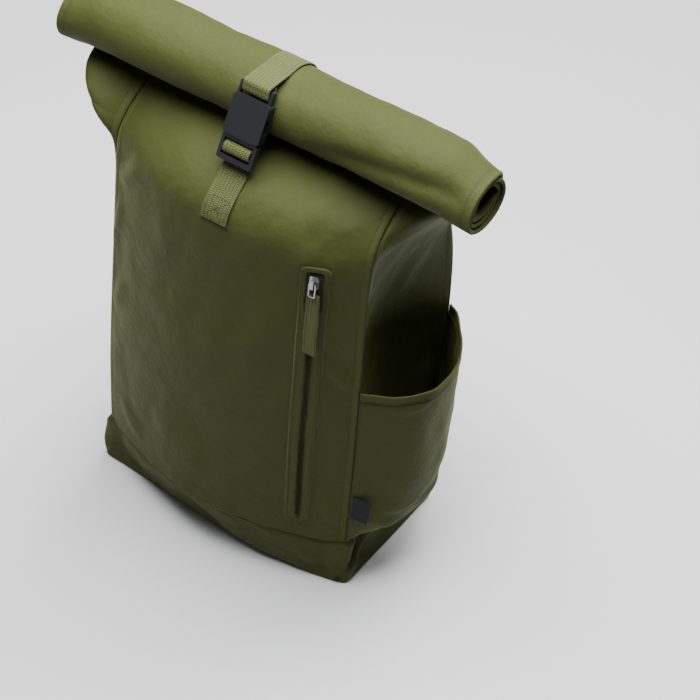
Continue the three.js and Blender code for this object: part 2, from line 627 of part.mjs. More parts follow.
// One shoulder strap, top to bottom. Shares: x of HALF_WIDTH, y of HALF_DEPTH, z of NECK_Z.
const STRAP_ROWS = [
  [0.36, 0.822, 0.79, 62, 5],
  [0.375, 1.16, 0.805, 65, 9],
  [0.41, 1.6, 0.72, 68, 12],
  [0.45, 1.78, 0.58, 66, 12],
  [0.5, 1.7, 0.46, 60, 12],
  [0.55, 1.56, 0.36, 50, 11],
  [0.58, 1.48, 0.3, 38, 8],
].map(named(['x', 'y', 'z', 'width', 'thick']));

/** One padded shoulder strap: a rounded section along the strap's line. */
function shoulderStrap(name, sign) {
  const count = 14;
  const ring = 12;
  const at = (key, j) => column(STRAP_ROWS, key, (j / count) * (STRAP_ROWS.length - 1));
  const points = [];
  for (let j = 0; j <= count; j += 1) {
    const here = vec(sign * at('x', j) * HALF_WIDTH, at('y', j) * HALF_DEPTH, at('z', j) * NECK_Z);
    const k0 = Math.max(0, j - 1);
    const k1 = Math.min(count, j + 1);
    const dy = (at('y', k1) - at('y', k0)) * HALF_DEPTH;
    const dz = (at('z', k1) - at('z', k0)) * NECK_Z;
    const size = Math.hypot(dy, dz);
    const out = vec(0, -dz / size, dy / size);
    for (let i = 0; i < ring; i += 1) {
      const a = (2 * Math.PI * i) / ring;
      const round = (v) => Math.sign(v) * Math.abs(v) ** 0.6;
      points.push(here.clone().add(vec(round(Math.cos(a)) * at('width', j) / 2, 0, 0))
        .addScaledVector(out, round(Math.sin(a)) * at('thick', j) / 2));
    }
  }
  const faces = [];
  for (let j = 0; j < count; j += 1) {
    for (let i = 0; i < ring; i += 1) {
      const [a, b] = [j * ring + i, j * ring + ((i + 1) % ring)];
      faces.push([a, b, b + ring], [a, b + ring, a + ring]);
    }
  }
  for (let i = 1; i < ring - 1; i += 1) {
    faces.push([0, i + 1, i]);
    faces.push([count * ring, count * ring + i, count * ring + i + 1]);
  }
  return meshOf(name, points, faces, canvasDark());
}

/** The adjuster's middle, under the end of a shoulder strap, as [y, z]. */
function adjusterSeat() {
  const end = STRAP_ROWS.at(-1);
  return [end.y * HALF_DEPTH - 2.2, end.z * NECK_Z - 11.3];
}

/** A point in an adjuster's own frame, s up its plate and h off its middle, as [y, z]. */
function adjusterAt(s, h) {
  const lean = THREE.MathUtils.degToRad(ADJUSTER_LEAN);
  const [y, z] = adjusterSeat();
  return [y + s * Math.cos(lean) - h * Math.sin(lean), z + s * Math.sin(lean) + h * Math.cos(lean)];
}

/** The two-bar adjuster under a shoulder strap. */
async function adjuster(name, x) {
  const k = await solids();
  const body = roundPlate(k, 33, 22, 3.6, 2).subtract(boxOf(k, 26.6, 5.4, 8, 0, 5.2, 0))
    .subtract(boxOf(k, 26.6, 5.4, 8, 0, -5.2, 0));
  const mesh = meshFrom(name, body, blackPlastic());
  mesh.position.set(x, ...adjusterSeat());
  mesh.rotation.x = THREE.MathUtils.degToRad(ADJUSTER_LEAN);
  return mesh;
}

/** The webbing from an adjuster's middle bar down to the back of the body, over the boot's seam. */
function lowerWebbing(name, x) {
  const back = HALF_DEPTH + SEAT + WEBBING_T / 2;
  const path = [
    adjusterAt(-11, -3.6), adjusterAt(-6.6, -3.2), adjusterAt(-5.2, 0), adjusterAt(-3.6, 3.3),
    adjusterAt(0, 3.9), adjusterAt(3.6, 3.3), adjusterAt(5.2, 0), adjusterAt(4.4, -4.2), adjusterAt(0, -6.4),
    adjusterAt(-9, -7.4), [back + 17, BASE_H + 32], [back + 3, BASE_H + 15],
    [back, BASE_H + 4],
  ];
  return ribbon(name, path, WEBBING_W, WEBBING_T, 30, webbing(), x);
}

const bag = new THREE.Group();
bag.name = 'rolltop_backpack';
const strapX = STRAP_ROWS.at(-1).x * HALF_WIDTH;
bag.add(
  ...bodyPanels(), basePanel(), rolledCollar(), sidePocket(), ...(await zip()), sideLabel(),
  frontWebbing(), topWebbing(), ...(await buckle()),
  shoulderStrap('shoulder_strap_right', 1), shoulderStrap('shoulder_strap_left', -1),
  await adjuster('adjuster_right', strapX), await adjuster('adjuster_left', -strapX),
  lowerWebbing('lower_webbing_right', strapX), lowerWebbing('lower_webbing_left', -strapX),
);

export default bag;
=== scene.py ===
"""Looks of a rolltop backpack, built in the frame of its CAD part.

Lengths are millimetres until a mesh is made.
"""

import logging
import math
from dataclasses import dataclass, field
from enum import Enum

import bpy
import numpy as np
from mathutils import Matrix, Vector

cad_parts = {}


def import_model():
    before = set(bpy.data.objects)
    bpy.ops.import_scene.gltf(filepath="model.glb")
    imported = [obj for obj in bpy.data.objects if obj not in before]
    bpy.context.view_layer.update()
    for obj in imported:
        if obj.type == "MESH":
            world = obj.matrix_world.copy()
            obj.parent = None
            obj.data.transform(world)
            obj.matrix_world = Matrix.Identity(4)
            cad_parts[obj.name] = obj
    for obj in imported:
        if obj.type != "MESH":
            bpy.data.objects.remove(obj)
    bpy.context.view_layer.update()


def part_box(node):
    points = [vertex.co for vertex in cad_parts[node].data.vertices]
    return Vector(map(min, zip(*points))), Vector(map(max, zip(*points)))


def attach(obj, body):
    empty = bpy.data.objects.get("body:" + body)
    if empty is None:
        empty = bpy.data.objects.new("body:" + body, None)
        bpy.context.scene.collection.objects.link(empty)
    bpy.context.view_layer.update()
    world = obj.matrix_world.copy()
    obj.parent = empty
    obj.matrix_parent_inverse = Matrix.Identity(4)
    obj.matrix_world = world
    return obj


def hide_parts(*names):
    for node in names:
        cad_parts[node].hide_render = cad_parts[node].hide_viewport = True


LOG = logging.getLogger("backpack")
MM = 0.001
Array = np.ndarray


class Slot(Enum):
    """Material slots."""

    CANVAS = "canvas"
    STRAP = "strap_cloth"
    ZIP_CLOTH = "zip_cloth"
    WEBBING = "webbing"
    LABEL = "label"
    PLASTIC = "buckle_plastic"
    METAL = "zip_metal"


# Tables


@dataclass(frozen=True)
class Table:
    """A short table with named columns, read smoothly between its rows."""

    names: tuple[str, ...]
    rows: Array

    def at(self, name: str, t: Array) -> Array:
        """One column at row positions t, through a Catmull-Rom curve.

        Args:
            name: the column.
            t: row positions, 0 at the first row.

        Returns:
            The column's values, in t's shape.
        """
        values = self.rows[:, self.names.index(name)]
        t = np.asarray(t, float)
        last = len(values) - 1
        i = np.clip(np.floor(t).astype(int), 0, last - 1)
        f = t - i
        a, b, c, d = (values[np.clip(i + k, 0, last)] for k in (-1, 0, 1, 2))
        bend = (2 * a - 5 * b + 4 * c - d) * f + (3 * b - a - 3 * c + d) * f * f
        return b + 0.5 * f * (c - a + bend)


def tabulate(names: str, rows: list[list[float]]) -> Table:
    """A table from its column names, written with spaces between them, and its rows."""
    return Table(tuple(names.split()), np.array(rows, float))


BODY = tabulate(
    "seam_x seam_y seam_z mid_y mid_z rear_x rear_y rear_z",
    [
        [0.975, -1.0, 0.12, -1.54, 0.12, 0.965, 1.0, 0.12],
        [0.98, -1.02, 0.2, -1.59, 0.2, 0.965, 1.0, 0.2],
        [0.985, -1.04, 0.3, -1.63, 0.3, 0.965, 1.0, 0.29],
        [0.985, -1.05, 0.42, -1.66, 0.42, 0.965, 1.0, 0.39],
        [0.98, -1.06, 0.54, -1.68, 0.54, 0.965, 1.0, 0.49],
        [0.975, -1.07, 0.66, -1.69, 0.66, 0.96, 0.99, 0.59],
        [0.97, -1.08, 0.77, -1.69, 0.77, 0.955, 0.96, 0.67],
        [0.97, -1.07, 0.85, -1.67, 0.85, 0.95, 0.89, 0.74],
        [0.97, -1.02, 0.893, -1.63, 0.893, 0.945, 0.79, 0.795],
        [0.965, -0.9, 0.923, -1.5, 0.927, 0.94, 0.67, 0.845],
        [0.96, -0.72, 0.947, -1.28, 0.957, 0.935, 0.53, 0.89],
        [0.955, -0.5, 0.967, -0.98, 0.981, 0.93, 0.38, 0.93],
        [0.95, -0.26, 0.985, -0.56, 0.994, 0.925, 0.24, 0.968],
        [0.945, 0.0, 1.0, 0.0, 1.0, 0.92, 0.104, 1.0],
    ],
)
SIDE_NAMES = "out ahead lift power"
SIDE_RIGHT = tabulate(
    SIDE_NAMES,
    [
        [0.05, 0.0, 0.0, 2.0],
        [-0.12, 0.05, 0.0, 2.0],
        [-0.18, 0.1, 0.0, 2.0],
        [-0.19, 0.12, 0.0, 2.0],
        [-0.19, 0.12, 0.0, 2.0],
        [-0.18, 0.12, 0.0, 2.0],
        [-0.13, 0.1, 0.01, 2.0],
        [-0.03, 0.08, 0.03, 1.9],
        [0.1, 0.04, 0.045, 1.8],
        [0.21, 0.0, 0.045, 1.6],
        [0.3, 0.0, 0.035, 1.5],
        [0.37, 0.0, 0.022, 1.35],
        [0.42, 0.0, 0.01, 1.25],
        [0.46, 0.0, 0.0, 1.2],
    ],
)
SIDE_LEFT = tabulate(
    SIDE_NAMES,
    [
        [0.05, 0.0, 0.0, 2.0],
        [0.06, 0.0, 0.0, 2.0],
        [0.07, 0.0, 0.0, 2.0],
        [0.07, 0.0, 0.0, 2.0],
        [0.06, 0.0, 0.0, 2.0],
        [0.05, 0.0, 0.0, 2.0],
        [0.06, 0.15, 0.01, 2.0],
        [0.11, 0.45, 0.035, 1.9],
        [0.21, 0.74, 0.057, 1.8],
        [0.31, 0.72, 0.055, 1.6],
        [0.38, 0.6, 0.043, 1.5],
        [0.43, 0.42, 0.028, 1.35],
        [0.45, 0.2, 0.014, 1.25],
        [0.46, 0.0, 0.0, 1.2],
    ],
)
POCKET = tabulate(
    "z bulge power tail",
    [
        [0.0, 0.2, 2.0, 2.0],
        [0.035, 0.46, 2.2, 2.0],
        [0.1, 0.72, 2.5, 1.9],
        [0.22, 0.88, 2.8, 1.8],
        [0.42, 0.97, 3.0, 2.1],
        [0.64, 1.0, 3.0, 2.2],
        [0.84, 1.0, 3.0, 2.2],
        [1.0, 1.0, 3.0, 2.2],
    ],
)
BASE = tabulate(
    "grow height bulge tuck",
    [
        [1.0, 1.0, 1.0, 0.0],
        [1.01, 0.8, 0.86, 0.5],
        [1.02, 0.55, 0.68, 1.0],
        [1.03, 0.3, 0.5, 1.0],
        [1.035, 0.12, 0.36, 0.8],
        [1.025, 0.015, 0.27, 0.6],
        [0.96, 0.0, 0.22, 0.5],
    ],
)
STRAP = tabulate(
    "x y z width thick",
    [
        [0.36, 0.822, 0.79, 62, 5],
        [0.375, 1.16, 0.805, 65, 9],
        [0.41, 1.6, 0.72, 68, 12],
        [0.45, 1.78, 0.58, 66, 12],
        [0.5, 1.7, 0.46, 60, 12],
        [0.55, 1.56, 0.36, 50, 11],
        [0.58, 1.48, 0.3, 38, 8],
    ],
)


@dataclass(frozen=True)
class Sizes:
    """Driving sizes of the bag, the same as the CAD part's."""

    half_width: float = 130.0
    half_depth: float = 67.5
    base_h: float = 50.0
    neck_z: float = 420.0
    neck_gap: float = 7.0
    cloth: float = 1.5
    webbing_w: float = 25.0
    pocket_rim: float = 230.0
    pocket_bulge: float = 44.0
    pocket_fullest: float = 0.43
    roll_half: float = 199.0


SIZE = Sizes()
TOP_ROW = len(BODY.rows) - 1
SEAM_INSET = 7.0


# Arrays


def unit(v: Array) -> Array:
    """Vectors scaled to a length of 1."""
    return v / np.maximum(np.linalg.norm(v, axis=-1, keepdims=True), 1e-9)


def bell(x: Array, middle: float | Array, width: float | Array) -> Array:
    """A bell curve of x: 1 at its middle, and 1/e at its width from there."""
    return np.exp(-(((x - middle) / width) ** 2))


def grid_normals(p: Array, wrap: bool = False) -> Array:
    """Unit normals of a grid: the cross product of its column and row differences.

    Args:
        p: points, rows by columns by 3.
        wrap: whether the columns form a loop.

    Returns:
        Normals in p's shape.
    """
    if wrap:
        along = np.roll(p, -1, axis=1) - np.roll(p, 1, axis=1)
    else:
        along = np.gradient(p, axis=1)
    return unit(np.cross(along, np.gradient(p, axis=0)))


def path_lengths(p: Array, axis: int) -> Array:
    """Length run along one axis of a grid of points, starting at 0."""
    step = np.linalg.norm(np.diff(p, axis=axis), axis=-1)
    return np.insert(np.cumsum(step, axis=axis), 0, 0, axis=axis)


def smooth(x: Array) -> Array:
    """The smoothstep of x, held to 0..1."""
    x = np.clip(x, 0, 1)
    return x * x * (3 - 2 * x)


def ripple(a: Array, b: Array, wave: float, seed: int) -> Array:
    """Soft unevenness: eight bent sine waves in turned directions, summed to about -1..1.

    Args:
        a: first coordinate, in mm.
        b: second coordinate, in mm.
        wave: mean wavelength, in mm.
        seed: picks the directions and phases.

    Returns:
        The sum in the shape of a and b.
    """
    rng = np.random.default_rng(seed)
    total = np.zeros(np.broadcast(a, b).shape)
    for turn, phase, stretch in rng.uniform(0, 1, (8, 3)):
        k = 2 * np.pi / (wave * (0.7 + 0.8 * stretch))
        angle = 2 * np.pi * turn
        bend = 0.8 * np.sin((a * np.sin(angle) - b * np.cos(angle)) * k * 0.5 + 9 * phase)
        total += np.sin((a * np.cos(angle) + b * np.sin(angle)) * k + 2 * np.pi * phase + bend)
    return total / 4


@dataclass(frozen=True)
class Fold:
    """One crease across a panel, from (u0, z0) to (u1, z1), in mm along and up the panel."""

    u0: float
    z0: float
    u1: float
    z1: float
    width: float
    height: float

    def lift(self, u: Array, z: Array) -> Array:
        """A ridge with a softer valley beside it: bells across the line that fade over its ends.

        Args:
            u: places along the panel, in mm.
            z: places up the panel, in mm.

        Returns:
            Heights in the shape of u and z.
        """
        d = np.array([self.u1 - self.u0, self.z1 - self.z0])
        size = float(np.hypot(*d))
        d = d / size
        s = (u - self.u0) * d[0] + (z - self.z0) * d[1]
        q = ((u - self.u0) * -d[1] + (z - self.z0) * d[0]) / self.width
        ends = smooth(s / (0.35 * size)) * smooth((size - s) / (0.35 * size))
        return self.height * ends * (bell(q, 0, 1) - 0.5 * bell(q, 1.6, 1))


# Meshes


def mesh_object(
    name: str, points: Array, faces: Array | list, uv: Array, masks: dict[str, Array] | None = None
) -> bpy.types.Object:
    """A smooth mesh object at the origin, from millimetres.

    Args:
        name: the object's name.
        points: vertices, n by 3, in mm.
        faces: vertex numbers of each face.
        uv: cloth coordinates of each vertex, n by 2, in mm.
        masks: values of each vertex, stored as float attributes.

    Returns:
        The linked object.
    """
    mesh = bpy.data.meshes.new(name)
    mesh.from_pydata(points * MM, [], faces)
    mesh.validate()
    layer = mesh.uv_layers.new(name="cloth")
    corner = np.empty(len(mesh.loops), dtype=np.int32)
    mesh.loops.foreach_get("vertex_index", corner)
    layer.data.foreach_set("uv", (uv[corner] * MM).astype(np.float32).ravel())
    for key, values in (masks or {}).items():
        attribute = mesh.attributes.new(key, "FLOAT", "POINT")
        attribute.data.foreach_set("value", np.asarray(values, np.float32).ravel())
    mesh.polygons.foreach_set("use_smooth", np.ones(len(mesh.polygons), dtype=bool))
    mesh.update()
    obj = bpy.data.objects.new(name, mesh)
    bpy.context.scene.collection.objects.link(obj)
    return obj


def grid_faces(rows: int, cols: int, wrap: bool = False) -> Array:
    """The quads of a grid of rows by cols vertices; wrap joins the last column to the first."""
    j, i = np.meshgrid(np.arange(rows - 1), np.arange(cols if wrap else cols - 1), indexing="ij")
    k = (i + 1) % cols
    quads = np.stack([j * cols + i, j * cols + k, (j + 1) * cols + k, (j + 1) * cols + i], axis=-1)
    return quads.reshape(-1, 4)


def grid_object(
    name: str, p: Array, wrap: bool = False, masks: dict[str, Array] | None = None
) -> bpy.types.Object:
    """An object from a grid of points, with cloth coordinates measured along its rows and columns.

    Args:
        name: the object's name.
        p: points, rows by columns by 3.
        wrap: whether the columns form a loop.
        masks: values of each point, by name.

    Returns:
        The linked object.
    """
    across = path_lengths(p, 1)
    up = path_lengths(p, 0)
    uv = np.stack([across - across.mean(axis=1, keepdims=True), up], axis=-1).reshape(-1, 2)
    faces = grid_faces(p.shape[0], p.shape[1], wrap)
    return mesh_object(name, p.reshape(-1, 3), faces, uv, masks)


def thicken(obj: bpy.types.Object, thickness: float, offset: float = -1.0) -> None:
    """Gives a sheet its wall."""
    solid = obj.modifiers.new("wall", "SOLIDIFY")
    solid.thickness = thickness * MM
    solid.offset = offset
    solid.use_even_offset = False


def soften(obj: bpy.types.Object, width: float, segments: int = 3) -> None:
    """Rounds an object's edges."""
    bevel = obj.modifiers.new("edges", "BEVEL")
    bevel.width = width * MM
    bevel.segments = segments
    bevel.limit_method = "ANGLE"
    bevel.angle_limit = math.radians(35)
    bevel.harden_normals = True


def superellipse(angle: Array, power: float) -> tuple[Array, Array]:
    """Cosine and sine of an angle, each raised to a power with its sign kept."""
    c, s = np.cos(angle), np.sin(angle)
    return np.sign(c) * np.abs(c) ** power, np.sign(s) * np.abs(s) ** power


def box_sweep(
    path: Array,
    across: Array,
    up: Array,
    width: float | Array,
    thick: float | Array,
    ring: int,
    square: float,
) -> Array:
    """A closed section swept along a path: a superellipse of the given width and thickness at each step.

    Args:
        path: middle line, n by 3.
        across: unit width directions, n by 3.
        up: unit thickness directions, n by 3.
        width: full width, or n of them.
        thick: full thickness, or n of them.
        ring: points round the section.
        square: exponent of the superellipse, 1 is an ellipse and smaller is boxier.

    Returns:
        Points, n by ring by 3.
    """
    c, s = superellipse(2 * np.pi * np.arange(ring) / ring, square)
    half_w, half_t = (0.5 * np.broadcast_to(v, len(path))[:, None, None] for v in (width, thick))
    sideways = across[:, None] * c[None, :, None] * half_w
    return path[:, None] + sideways + up[:, None] * s[None, :, None] * half_t


def closed_sweep(name: str, rings: Array) -> bpy.types.Object:
    """An object from swept rings, closed at both ends.

    Args:
        name: the object's name.
        rings: points, steps by ring by 3.

    Returns:
        The linked object.
    """
    ends = [0.995 * end.mean(axis=1, keepdims=True) + 0.005 * end for end in (rings[:1], rings[-1:])]
    full = np.concatenate([ends[0], rings, ends[1]])
    steps, ring = full.shape[:2]
    along = np.broadcast_to(path_lengths(full, 0).mean(axis=1, keepdims=True), full.shape[:2])
    uv = np.stack([full[..., 0] - full[..., 0].mean(), along], axis=-1).reshape(-1, 2)
    caps = [range(ring - 1, -1, -1), range((steps - 1) * ring, steps * ring)]
    faces = [tuple(face) for face in (*grid_faces(steps, ring, wrap=True).tolist(), *caps)]
    return mesh_object(name, full.reshape(-1, 3), faces, uv)


def curve_points(knots: Array, count: int) -> Array:
    """Evenly spaced points on a Catmull-Rom curve, found by arc length.

    Args:
        knots: points that the curve passes, n by 2 or 3.
        count: how many points to make.

    Returns:
        Points, count by 2 or 3.
    """
    table = Table(tuple("abc"[: knots.shape[1]]), knots)
    t = np.linspace(0, len(knots) - 1, 40 * len(knots))
    fine = np.stack([table.at(name, t) for name in table.names], axis=-1)
    run = path_lengths(fine[None], 1)[0]
    s = np.linspace(0, run[-1], count)
    return np.stack([np.interp(s, run, fine[:, k]) for k in range(fine.shape[1])], axis=-1)


# Shading


@dataclass
class Nodes:
    """Short names for building one node tree."""

    tree: bpy.types.NodeTree

    def add(self, kind: str, **values: object) -> bpy.types.Node:
        """A node with its properties and inputs set by name.

        Args:
            kind: the node's type, without its ShaderNode prefix.
            **values: what put() takes.

        Returns:
            The node.
        """
        full = kind if kind.startswith("Node") else "ShaderNode" + kind
        return self.put(self.tree.nodes.new(full), **values)

    def put(self, node: bpy.types.Node, **values: object) -> bpy.types.Node:
        """Sets a node's properties and inputs.

        Args:
            node: the node.
            **values: properties, or inputs when the name starts with in_; a socket value links.

        Returns:
            The node.
        """
        for key, value in values.items():
            if not key.startswith("in_"):
                setattr(node, key, value)
                continue
            name = key[3:]
            socket = node.inputs[int(name) if name.isdigit() else name.replace("_", " ")]
            if isinstance(value, bpy.types.NodeSocket):
                self.tree.links.new(value, socket)
            else:
                socket.default_value = value
        return node

    def math(self, operation: str, a: object, b: object = 0.0, clamp: bool = False) -> bpy.types.NodeSocket:
        """The output of a Math node."""
        return self.add("Math", operation=operation, in_0=a, in_1=b, use_clamp=clamp).outputs[0]

    def plus(self, a: object, b: object) -> bpy.types.NodeSocket:
        """The sum of two values."""
        return self.math("ADD", a, b)

    def times(self, a: object, b: object, clamp: bool = False) -> bpy.types.NodeSocket:
        """The product of two values."""
        return self.math("MULTIPLY", a, b, clamp)

    def sine(self, a: object) -> bpy.types.NodeSocket:
        """The sine of a value."""
        return self.math("SINE", a)

    def mix(self, factor: object, a: object, b: object) -> bpy.types.NodeSocket:
        """The colour output of a Mix node."""
        return self.add("Mix", data_type="RGBA", in_0=factor, in_6=a, in_7=b).outputs[2]

    def place(self) -> bpy.types.NodeSocket:
        """Object coordinates, in metres."""
        return self.add("TexCoord").outputs["Object"]

    def bump(self, height: object, share: float, depth: float, **values: object) -> bpy.types.NodeSocket:
        """The normal output of a Bump node."""
        return self.add("Bump", in_Strength=share, in_Distance=depth, in_Height=height, **values).outputs[0]


def shaded(colour: tuple[float, ...], share: float = 1.0) -> tuple[float, ...]:
    """A colour scaled by a share, with its alpha."""
    return (*[c * share for c in colour], 1)


def new_material(name: str) -> tuple[bpy.types.Material, Nodes, bpy.types.Node]:
    """A new material, its nodes and its shader."""
    mat = bpy.data.materials.new(name)
    mat.use_nodes = True
    return mat, Nodes(mat.node_tree), mat.node_tree.nodes["Principled BSDF"]


def new_group(
    name: str, inputs: dict[str, tuple[str, object]], outputs: tuple[str, ...]
) -> tuple[Nodes, bpy.types.Node, bpy.types.Node]:
    """A shader node group with its interface, ready to be filled.

    Args:
        name: the group's name.
        inputs: socket type and default value of each input.
        outputs: names of its outputs, which are values.

    Returns:
        The group's nodes, its input node and its output node.
    """
    tree = bpy.data.node_groups.new(name, "ShaderNodeTree")
    for key, (kind, value) in inputs.items():
        socket = tree.interface.new_socket(name=key, in_out="INPUT", socket_type=kind)
        if value is not None:
            socket.default_value = value
    for key in outputs:
        tree.interface.new_socket(name=key, in_out="OUTPUT", socket_type="NodeSocketFloat")
    nodes = Nodes(tree)
    return nodes, nodes.add("NodeGroupInput"), nodes.add("NodeGroupOutput")


class Effects:
    """The shader groups that the materials share."""

    def __init__(self) -> None:
        """Builds every group once."""
        self.weave = self._weave()
        self.mottle = self._mottle()
        self.ribs = self._ribs()

    @staticmethod
    def _weave() -> bpy.types.NodeTree:
        """Plain weave: warp and weft bands that go over and under each other, with uneven threads."""
        n, start, end = new_group(
            "plain_weave",
            {"UV": ("NodeSocketVector", None), "Threads": ("NodeSocketFloat", 1100.0)},
            ("Height", "Thread"),
        )
        uv = start.outputs["UV"]
        wobble = n.add("TexNoise", in_Vector=uv, in_Scale=420.0, in_Detail=2.0)
        shift = n.times(n.math("SUBTRACT", wobble.outputs[0], 0.5), 1.1)
        parts = n.add("SeparateXYZ", in_Vector=uv)
        pitch = n.times(start.outputs["Threads"], math.pi)
        a, b = (n.sine(n.plus(n.times(parts.outputs[k], pitch), shift)) for k in (0, 1))
        bands = n.times(n.plus(n.math("ABSOLUTE", a), n.math("ABSOLUTE", b)), 0.35)
        height = n.plus(n.times(n.times(a, b), 0.3), bands)
        slub = n.add("TexNoise", in_Vector=uv, in_Scale=900.0, in_Detail=3.0).outputs[0]
        n.put(end, in_Height=n.plus(height, n.times(slub, 0.6)), in_Thread=slub)
        return n.tree

    @staticmethod
    def _mottle() -> bpy.types.NodeTree:
        """Large and small patches of value, for dye and wear, from 0 to 1."""
        n, start, end = new_group(
            "mottle",
            {"Vector": ("NodeSocketVector", None), "Scale": ("NodeSocketFloat", 9.0)},
            ("Large", "Small"),
        )
        vector, scale = start.outputs["Vector"], start.outputs["Scale"]
        large = n.add("TexNoise", in_Vector=vector, in_Scale=scale, in_Detail=4.0, in_Roughness=0.55)
        small = n.add("TexNoise", in_Vector=vector, in_Scale=n.times(scale, 22.0), in_Detail=5.0)
        n.put(end, in_Large=large.outputs[0], in_Small=small.outputs[0])
        return n.tree

    @staticmethod
    def _ribs() -> bpy.types.NodeTree:
        """Webbing: cords along the length crossed by short diagonal floats, as a height from 0 to 1."""
        n, start, end = new_group(
            "webbing_ribs",
            {"UV": ("NodeSocketVector", None), "Pitch": ("NodeSocketFloat", 0.0021)},
            ("Height",),
        )
        parts = n.add("SeparateXYZ", in_Vector=start.outputs["UV"])
        a, b = (
            n.math("DIVIDE", n.times(parts.outputs[k], 2 * math.pi), start.outputs["Pitch"]) for k in (0, 1)
        )
        cords = n.math("ABSOLUTE", n.sine(n.times(a, 0.5)))
        floats = n.sine(n.plus(n.times(b, 1.6), n.times(n.sine(a), 1.4)))
        n.put(end, in_Height=n.plus(n.times(cords, 0.55), n.times(n.plus(floats, 1.0), 0.28)))
        return n.tree


@dataclass(frozen=True)
class Cloth:
    """A canvas finish: dye colour, weave size, how far painted shade darkens seams and valleys, and sheen."""

    name: str
    dye: tuple[float, float, float]
    light: tuple[float, float, float]
    threads: float = 1100.0
    weave_depth: float = 0.00022
    roughness: float = 0.72
    sheen: float = 0.1

    def material(self, fx: Effects) -> bpy.types.Material:
        """Weave bump over mottled dye, with a painted highlight on raised threads, lighter on worn ridges,
        and painted shade darkening the seams.

        Args:
            fx: the shared groups.

        Returns:
            The material.
        """
        mat, n, shader = new_material(self.name)
        uv = n.add("UVMap", uv_map="cloth").outputs[0]
        weave = n.add("Group", node_tree=fx.weave, in_UV=uv, in_Threads=self.threads).outputs["Height"]
        mottle = n.add("Group", node_tree=fx.mottle, in_Vector=n.place())
        light = shaded(self.light)
        shade = n.mix(mottle.outputs["Large"], shaded(self.dye, 0.86), shaded(self.dye, 1.12))
        # painted highlight: raised threads of the weave mix toward the lighter colour; the small mottle is
        # random tone
        for value in (weave, mottle.outputs["Small"]):
            shade = n.mix(n.times(n.math("SUBTRACT", value, 0.55), 0.5, clamp=True), shade, light)
        # wear lightens worn ridges; the seam mask is painted shade that darkens seam lines toward a quarter
        # of the dye
        for mask, share, colour in (("wear", 0.35, light), ("seam", 0.75, shaded(self.dye, 0.25))):
            value = n.add("Attribute", attribute_name=mask).outputs["Fac"]
            shade = n.mix(n.times(value, share, clamp=True), shade, colour)
        soft = n.bump(mottle.outputs["Small"], 0.5, 0.0012)
        n.put(
            shader,
            in_Base_Color=shade,
            in_Normal=n.bump(weave, 0.5, self.weave_depth, in_Normal=soft),
            in_Roughness=self.roughness,
            in_Sheen_Weight=self.sheen,
            in_Sheen_Roughness=0.35,
            in_Sheen_Tint=(0.88, 1.0, 0.4, 1),
            in_Specular_IOR_Level=0.16,
        )
        return mat


@dataclass(frozen=True)
class Webbing:
    """A woven tape finish."""

    name: str
    dye: tuple[float, float, float]
    pitch: float = 0.0021

    def material(self, fx: Effects) -> bpy.types.Material:
        """Ribbed bump, with painted shade darkening the colour between the ribs."""
        mat, n, shader = new_material(self.name)
        uv = n.add("UVMap", uv_map="cloth").outputs[0]
        ribs = n.add("Group", node_tree=fx.ribs, in_UV=uv, in_Pitch=self.pitch).outputs[0]
        mottle = n.add("Group", node_tree=fx.mottle, in_Vector=n.place(), in_Scale=30.0)
        # painted shade: the colour falls to about a fifth of the dye in the valleys between the ribs
        shade = n.mix(n.times(ribs, 1.3, clamp=True), shaded(self.dye, 0.22), shaded(self.dye))
        n.put(
            shader,
            in_Base_Color=n.mix(n.times(mottle.outputs["Small"], 0.4), shade, shaded(self.dye, 0.7)),
            in_Normal=n.bump(ribs, 0.9, 0.0005),
            in_Roughness=0.85,
            in_Sheen_Weight=0.08,
            in_Sheen_Tint=(0.88, 1.0, 0.45, 1),
            in_Specular_IOR_Level=0.2,
        )
        return mat


@dataclass(frozen=True)
class Moulded:
    """Moulded plastic with a fine spark-eroded grain and faint scuffs."""

    name: str
    colour: tuple[float, float, float]
    roughness: float = 0.38

    def material(self, fx: Effects) -> bpy.types.Material:
        """Grain in the bump and scuffs in the roughness."""
        mat, n, shader = new_material(self.name)
        mottle = n.add("Group", node_tree=fx.mottle, in_Vector=n.place(), in_Scale=60.0)
        grain = n.add("TexNoise", in_Vector=n.place(), in_Scale=2600.0, in_Detail=2.0)
        n.put(
            shader,
            in_Base_Color=n.mix(mottle.outputs["Large"], shaded(self.colour, 0.8), shaded(self.colour, 1.3)),
            in_Roughness=n.plus(self.roughness - 0.08, n.times(mottle.outputs["Small"], 0.2)),
            in_Normal=n.bump(grain.outputs[0], 0.25, 0.00012),
        )
        return mat


@dataclass(frozen=True)
class Plated:
    """Bright plated metal with fine handling marks."""

    name: str
    colour: tuple[float, float, float] = (0.3, 0.3, 0.31)

    def material(self, fx: Effects) -> bpy.types.Material:
        """Roughness that varies with small marks."""
        mat, n, shader = new_material(self.name)
        mottle = n.add("Group", node_tree=fx.mottle, in_Vector=n.place(), in_Scale=120.0)
        n.put(
            shader,
            in_Base_Color=n.mix(mottle.outputs["Large"], shaded(self.colour, 0.85), shaded(self.colour)),
            in_Roughness=n.plus(0.2, n.times(mottle.outputs["Small"], 0.22)),
            in_Metallic=1.0,
        )
        return mat


